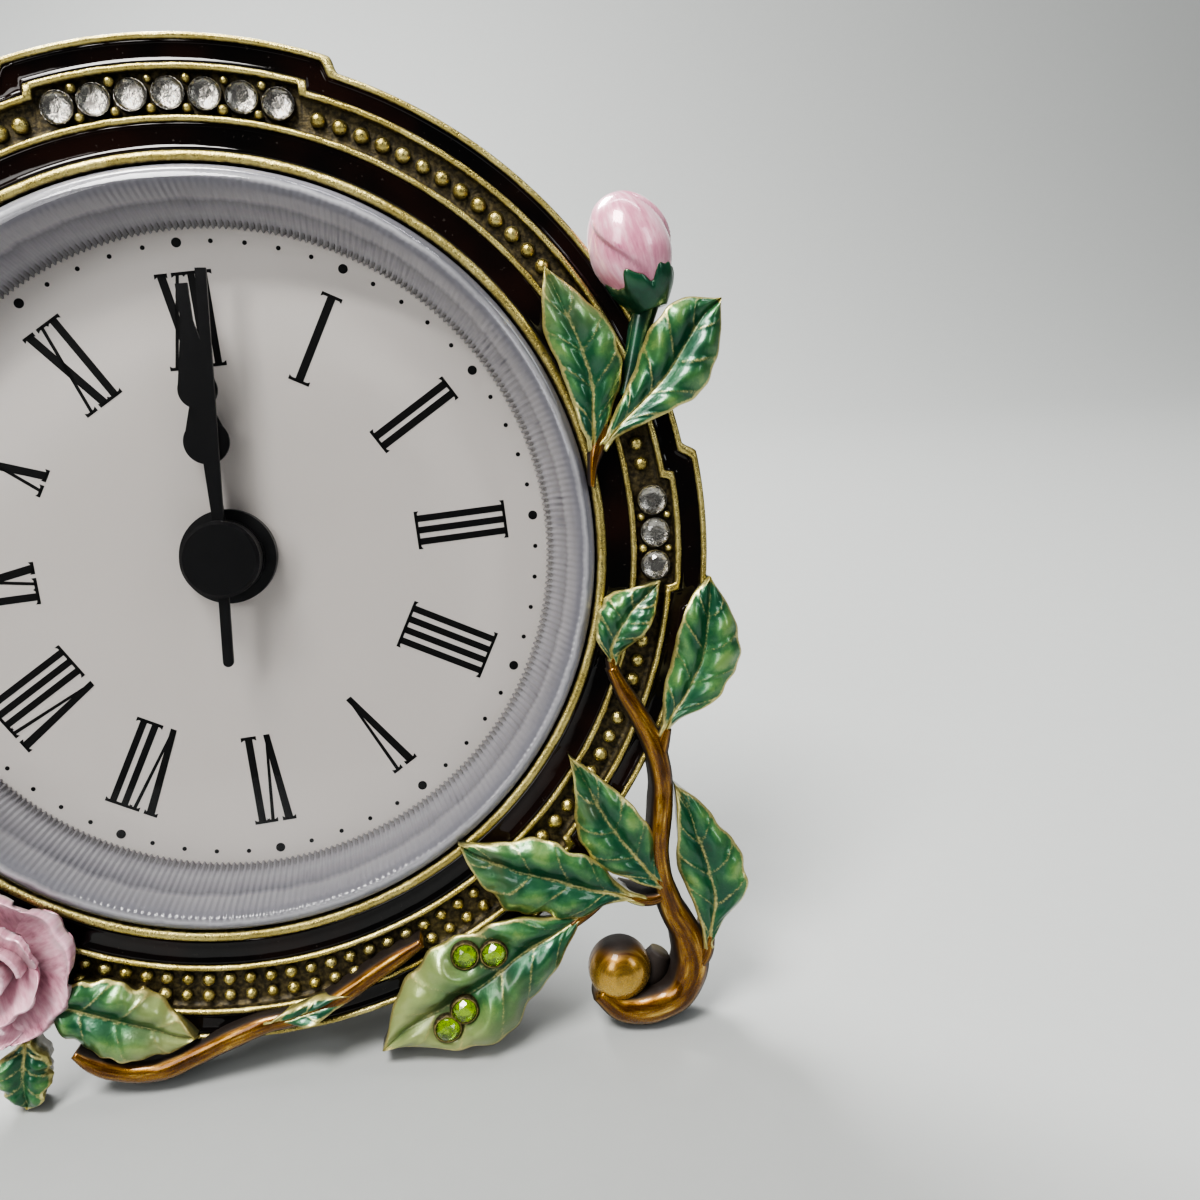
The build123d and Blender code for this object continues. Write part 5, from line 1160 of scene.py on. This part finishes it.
petals = [heart_mesh()]
petals += [petal_mesh(26 + 72 * i, 6.1, 4.3, 6.3, 2.3, 0.5, 1.0, 20 + i, 1.1) for i in range(5)]
petals += [petal_mesh(60 + 120 * i, 3.9, 3.1, 7.4, 2.3, 0.5, 0.6, 40 + i, 1.0) for i in range(3)]
rose_pink = finish("dusty_pink", pearl_skin((0.82, 0.56, 0.63), (0.62, 0.31, 0.39), (0.24, 0.08, 0.12), 0.35))
dress(join("rose_flower", *petals), rose_pink, "rose_enamel", "rose")

# %% [markdown]
# ## Dial
#
# The dial is printed card: satin off-white, with sixty dots and twelve Roman numerals in black ink.
# The CAD dial keeps its shape and gets its paper finish. The printing is real geometry, a few
# hundredths of a millimetre high: strokes for the numerals, and Geometry Nodes for the dots, where a
# tree reads each point's number and makes every fifth dot large.

# %% Dial paper and ink
def dial_skin(g):
    """Satin card, almost white, with a faint fibre."""
    colour = g.mix(g.noise(0.05, 2), (0.89, 0.835, 0.78), (0.93, 0.88, 0.83))
    return g.skin(Base_Color=colour, Roughness=0.42, Coat_Weight=0.15, Coat_Roughness=0.2,
                  Normal=g.bump(g.noise(3.0, 4), 0.01, 0.3))


def ink_skin(g):
    """Printed black."""
    grain = g.noise(6.0, 3)
    return g.skin(Base_Color=g.mix(grain, (0.004, 0.004, 0.004), (0.008, 0.008, 0.008)), Roughness=0.5,
                  Specular_IOR_Level=0.2, Normal=g.bump(grain, 0.01, 0.4))


def keep_node(node, material):
    """A CAD node that stays as it is, in its own finish."""
    slots = frame["nodes"][node].data.materials
    slots.clear()
    slots.append(material)


keep_node("dial", finish("dial_card", dial_skin))
ink = finish("printing_ink", ink_skin)
INK, DOT_LINE, MINUTES = 0.03, 27.5, 60


def on_dial(x, y, out):
    """Points of the insert, which is turned a little in the ring."""
    c, s = math.cos(INSERT_TURN), math.sin(INSERT_TURN)
    return np.stack(np.broadcast_arrays(x * c - y * s, x * s + y * c, out), -1)


def dot_tree():
    """Printed discs, every fifth one larger."""
    g, given = new_tree("minute_dots", {"Large dot": "Float", "Small dot": "Float", "Ink": "Float"})
    disc = g.add("GeometryNodeMeshCylinder", {}, {"Vertices": 20, "Radius": 1.0, "Depth": 1.0})
    number = g.add("GeometryNodeInputIndex")
    fifth = number.math("COMPARE", number.math("MODULO", number, 5.0), 0.0, 0.1)
    radius = given.out("Small dot") + fifth * (given.out("Large dot") - given.out("Small dot"))
    size = g.add("ShaderNodeCombineXYZ", {}, {0: radius, 1: radius, 2: given.out("Ink")})
    return close_tree(g, given, disc, size, False)


minute = np.radians(90 - 360 / MINUTES * np.arange(MINUTES))
dots = grow("minute_dots", dot_tree(), on_dial(DOT_LINE * np.cos(minute), DOT_LINE * np.sin(minute), INK / 2), ink, {
    "Large dot": 0.42 * MM, "Small dot": 0.20 * MM, "Ink": INK * MM})
dress(dots, ink, "hand_black")

# %% Numerals
NUMERAL_FOOT, NUMERAL_HEAD, SERIF = 16.7, 25.0, 0.34
BAR_WIDTHS, BAR_IN_CROWD = {1: 0.72, 2: 0.66}, 0.60
LETTER_WIDTHS = {"I": 1.06, "V": 2.4, "X": 2.6}
HALF_X, V_LEFT, V_RIGHT = 0.72, -0.72, 0.80
NUMERALS = ("XII", "I", "II", "III", "IIII", "V", "VI", "VII", "VIII", "IX", "X", "XI")


def stroke(foot, head, width_foot, width_head=None):
    """A straight stroke from foot to head, as (across, up) corners."""
    width_head = width_head or width_foot
    return [(foot - width_foot / 2, NUMERAL_FOOT), (foot + width_foot / 2, NUMERAL_FOOT),
            (head + width_head / 2, NUMERAL_HEAD), (head - width_head / 2, NUMERAL_HEAD)]


def serif(centre, half, at_head):
    """A thin serif whose ends flare."""
    up, way = (NUMERAL_HEAD, -1) if at_head else (NUMERAL_FOOT, 1)
    end, waist, flare = 1.25 * SERIF, 0.8 * SERIF, 0.22
    line = [(-half, 0), (half, 0), (half, end), (half - flare, waist), (-half + flare, waist), (-half, end)]
    return [(centre + x, up + way * y) for x, y in line][::way]


def numeral(text):
    """The strokes of a Roman numeral, centred on its middle."""
    bar = BAR_WIDTHS.get(len(text), BAR_IN_CROWD)
    shapes, run, x = [], [], -sum(LETTER_WIDTHS[letter] for letter in text) / 2
    for place, letter in enumerate(text):
        middle = x + LETTER_WIDTHS[letter] / 2
        if letter == "I":
            shapes.append(stroke(middle, middle, bar))
            run.append(middle)
        if letter == "V":
            shapes += [stroke(middle + 0.10, middle + V_LEFT, 0.55, 0.74)]
            shapes += [stroke(middle + 0.12, middle + V_RIGHT, 0.22, 0.32)]
            shapes += [serif(middle + V_LEFT, 0.62, True), serif(middle + V_RIGHT, 0.48, True)]
        if letter == "X":
            shapes += [stroke(middle + HALF_X, middle - HALF_X, 0.72), stroke(middle - HALF_X, middle + HALF_X, 0.28)]
            shapes += [serif(middle + side * HALF_X, 0.55, head) for side in (-1, 1) for head in (True, False)]
        if run and (letter != "I" or place == len(text) - 1):
            half = (run[-1] - run[0]) / 2 + (0.95 if text == "I" else 0.68)
            shapes += [serif((run[0] + run[-1]) / 2, half, head) for head in (True, False)]
            run = []
        x += LETTER_WIDTHS[letter]
    return shapes


def numerals_mesh(underside=0.004):
    """All twelve numerals, bases towards the centre, as thin closed plates of ink."""
    points, faces = [], []
    for hour, text in enumerate(NUMERALS):
        turn = math.radians(90 - 30 * hour)
        up, right = np.array((math.cos(turn), math.sin(turn))), np.array((math.sin(turn), -math.cos(turn)))
        for shape in numeral(text):
            flat = np.array([x * right + y * up for x, y in shape])
            first, count = len(points), len(shape)
            for z in (underside, INK):
                points += on_dial(flat[:, 0], flat[:, 1], z).tolist()
            faces.append([first + i for i in reversed(range(count))])
            faces.append([first + count + i for i in range(count)])
            for i in range(count):
                low, low_next = first + i, first + (i + 1) % count
                faces.append([low, low_next, low_next + count, low + count])
    return mesh_object("roman_numerals", points, faces, smooth=False)


dress(numerals_mesh(), ink, "hand_black")

# %% [markdown]
# ## Crystal
#
# The crystal is one clear plastic moulding: a flat front with a rounded shoulder, and a wall that
# slopes in towards the dial and is fluted on its inside. Behind the ring it looks lavender grey,
# because there it shows its own edge. The front must let the dial's light through without noise, so
# it is a thin clear coat: fully transparent, with a mirror mixed in by the Fresnel law. The wall is
# opaque: its lavender grey with a bright ring and darker bands is painted highlight and painted shade
# that stand in for the light seen in the clear plastic. It is one grid whose inner radius follows a
# wave, one ridge for each flute, deeper towards the dial.

# %% Crystal front
def clear_skin(g):
    """Clear plastic: nothing but reflections, stronger at a slant."""
    slant = g.add("ShaderNodeFresnel", {}, {"IOR": 1.46})
    clear = g.add("ShaderNodeBsdfTransparent", {}, {"Color": (0.985, 0.985, 0.99)})
    gloss = g.skin(Base_Color=(0.95, 0.95, 1.0), Metallic=1.0, Roughness=0.02)
    return g.add("ShaderNodeMixShader", {}, {0: slant * 0.8, 1: clear, 2: gloss})


def crystal_skin(g):
    """Opaque lavender grey, with a painted highlight ring and painted darker bands from rim to dial."""
    ripple = g.noise(0.6, 3)
    # The ramp paints light: its bright stop is a painted highlight ring, its dark stops painted shade.
    colour = g.ramp(g.mark("band") + (ripple - 0.5) * 0.08, (0.0, (0.36, 0.36, 0.41)), (0.14, (0.25, 0.25, 0.28)),
                    (0.20, (0.72, 0.72, 0.75)), (0.28, (0.29, 0.29, 0.33)), (0.56, (0.42, 0.42, 0.46)),
                    (0.62, (0.22, 0.22, 0.26)), (0.80, (0.42, 0.42, 0.46)), (1.0, (0.30, 0.30, 0.33)))
    return g.skin(Base_Color=colour, Roughness=0.16, IOR=1.49, Coat_Weight=1.0, Coat_Roughness=0.03,
                  Specular_IOR_Level=0.6, Normal=g.bump(ripple, 0.05, 0.4))


def crystal_front(steps=288):
    """The front and its shoulder, as a thin shell."""
    rows = [(32.3, 5.2)]
    rows += [(30.5 + 1.8 * math.cos(t), 6.2 + 1.8 * math.sin(t)) for t in np.radians(np.linspace(0, 90, 13))]
    rows += [(r, 8.0) for r in (30.0, 24, 16, 8, 0.02)]
    grid = np.stack([polar(r, np.arange(steps) * 360 / steps, z) for r, z in rows])
    cap = [(len(rows) - 1) * steps + i for i in range(steps)]
    return mesh_object("crystal_front", grid, grid_faces(len(rows), steps, False, True) + [cap])


dress(crystal_front(), finish("clear_plastic", clear_skin), "clear_plastic", "crystal")

# Rows of radius, height, flute depth and band, from the rim in to the dial and back outside. The
# band places the painted highlight and shade rings.
WALL = ((32.2, 6.65, 0.0, 0), (31.7, 7.15, 0.0, 1 / 7), (31.1, 6.95, 0.05, 2 / 7), (30.6, 6.0, 0.07, 3 / 7),
        (30.2, 4.4, 0.07, 4 / 7), (29.7, 2.8, 0.08, 5 / 7), (29.2, 1.2, 0.14, 6 / 7), (28.75, 0.06, 0.26, 1),
        (31.0, 0.06, 0, 1), (31.1, LEDGE_FRONT, 0, 1), (32.25, LEDGE_FRONT, 0, 1), (32.25, 6.5, 0, 0))


def crystal_wall(flutes=340, per_flute=8):
    """The sloping wall with its flutes, and the plain outside that the ring hides."""
    around = np.arange(flutes * per_flute) * 360 / (flutes * per_flute)
    wave = 0.5 - 0.5 * np.cos(np.radians(around) * flutes)
    grid = np.stack([polar(radius - depth * wave, around, out) for radius, out, depth, _ in WALL])
    faces = grid_faces(len(WALL), len(around), True, True)
    return mesh_object("crystal_fluted_wall", grid, faces, {"band": [[row[3]] for row in WALL]})


dress(crystal_wall(), finish("crystal_wall_plastic", crystal_skin), "clear_plastic", "crystal")

# %% [markdown]
# ## Hands and everything behind
#
# The hands, the movement and the parts behind the ring keep their CAD shapes, which are machined,
# stamped or moulded and so really have plain faces. Each gets the finish of its own material.

# %% Plain finishes
def plain(base, second, roughness, metallic=0.0, grain_per_mm=2.0, depth=0.02, coat=0.0, **more):
    """A moulded or machined surface: two near colours in a fine grain."""
    def build(g):
        grain = g.noise(grain_per_mm, 4)
        tone = grain * 0.5 + g.noise(grain_per_mm / 9, 3) * 0.5
        return g.skin(Base_Color=g.mix(tone, base, second), Metallic=metallic,
                      Roughness=roughness + (grain - 0.5) * 0.12, Coat_Weight=coat, Coat_Roughness=0.06,
                      Normal=g.bump(grain, depth, 0.5), **more)
    return build


WHEELS = ("seconds_wheel", "third_wheel", "centre_wheel", "step_wheel", "reversing_wheel")
FINISHES = {
    "leg_gilding": (antique_gold(), ("hinge_pin",)),
    "hand_lacquer": (plain((0.004, 0.004, 0.0045), (0.009, 0.009, 0.010), 0.38, coat=0.15, Specular_IOR_Level=0.3),
                     ("hour_hand", "minute_hand", "second_hand")),
    "black_moulding": (plain((0.012, 0.012, 0.013), (0.022, 0.022, 0.023), 0.46), ()),
    "knob_moulding": (plain((0.035, 0.035, 0.037), (0.060, 0.060, 0.062), 0.42), ()),
    "grey_moulding": (plain((0.30, 0.30, 0.31), (0.36, 0.36, 0.37), 0.5), ("middle_plate", "coil_bobbin")),
    "wheel_moulding": (plain((0.72, 0.70, 0.64), (0.80, 0.78, 0.73), 0.42), WHEELS),
    "blackened_nut": (plain((0.012, 0.012, 0.013), (0.024, 0.024, 0.025), 0.38, 0.3), ("fixing_nut",)),
    "turned_steel": (plain((0.52, 0.52, 0.53), (0.62, 0.62, 0.62), 0.28, 1.0, 5.0),
                     ("case_screws", "stator", "coil_core")),
    "tinned_can": (plain((0.66, 0.67, 0.68), (0.76, 0.76, 0.77), 0.22, 1.0, 4.0), ("quartz_can",)),
    "cell_steel": (plain((0.60, 0.60, 0.60), (0.70, 0.70, 0.70), 0.25, 1.0, 3.0), ("button_cell",)),
    "turned_brass": (plain((0.66, 0.46, 0.18), (0.76, 0.56, 0.25), 0.28, 1.0, 4.0),
                     ("cell_contacts", "cannon_pinion", "hour_wheel")),
    "winding_copper": (plain((0.48, 0.20, 0.08), (0.62, 0.28, 0.12), 0.34, 0.9, 9.0, 0.06), ("coil_winding",)),
    "board_laquer": (plain((0.010, 0.10, 0.035), (0.016, 0.14, 0.05), 0.3, coat=0.4), ("circuit_board",)),
    "magnet": (plain((0.05, 0.05, 0.055), (0.09, 0.09, 0.09), 0.4, 0.6), ("rotor",)),
}
finishes = {name: finish(name, build) for name, (build, _) in FINISHES.items()}
for name, (_, nodes) in FINISHES.items():
    for node in nodes:
        keep_node(node, finishes[name])
print("plain finishes:", len(FINISHES))

# %% [markdown]
# A stamped or moulded part has no truly sharp edge, and a thin line of light along each edge is what
# makes it look real. The outer parts are copies of their CAD solids with a small bevel on every sharp
# edge. The copies are merged first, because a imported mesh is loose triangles, and the bevel's
# normals are hardened so that flat faces stay flat.

# %% Softened parts
SOFTENED = (
    ("easel_leg", "leg_gilding", "gilt_leg", 0.18),
    ("insert_housing", "black_moulding", "black_plastic", 0.20),
    ("back_cover", "black_moulding", "black_plastic", 0.15),
    ("battery_door", "black_moulding", "black_plastic", 0.12),
    ("setting_knob", "knob_moulding", "knob_plastic", 0.20))


def soften(node, width):
    """A merged copy of a CAD node with a small bevel on its sharp edges, in mm."""
    work = bmesh.new()
    work.from_mesh(frame["nodes"][node].data)
    bmesh.ops.remove_doubles(work, verts=work.verts, dist=0.0005 * MM)
    bmesh.ops.dissolve_limit(work, angle_limit=math.radians(0.3), verts=work.verts, edges=work.edges)
    mesh = bpy.data.meshes.new(node + "_softened")
    work.to_mesh(mesh)
    work.free()
    mesh.shade_smooth()
    piece = add_object(node + "_softened", mesh)
    bevel = piece.modifiers.new("edges", "BEVEL")
    bevel.width, bevel.segments, bevel.limit_method = width * MM, 2, "ANGLE"
    bevel.angle_limit, bevel.harden_normals = math.radians(32), True
    return bake_modifier(piece)


for node, finish_name, slot, width in SOFTENED:
    dress(soften(node, width), finishes[finish_name], slot, node, body=frame["nodes"][node]["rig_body"])

# %% Finish
sizes = {"cad": [list(corner) for corner in cad_box], "visual": [list(corner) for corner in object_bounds()]}
for name, (low, high) in sizes.items():
    print(name, [round(1000 * x, 2) for x in low], [round(1000 * x, 2) for x in high])
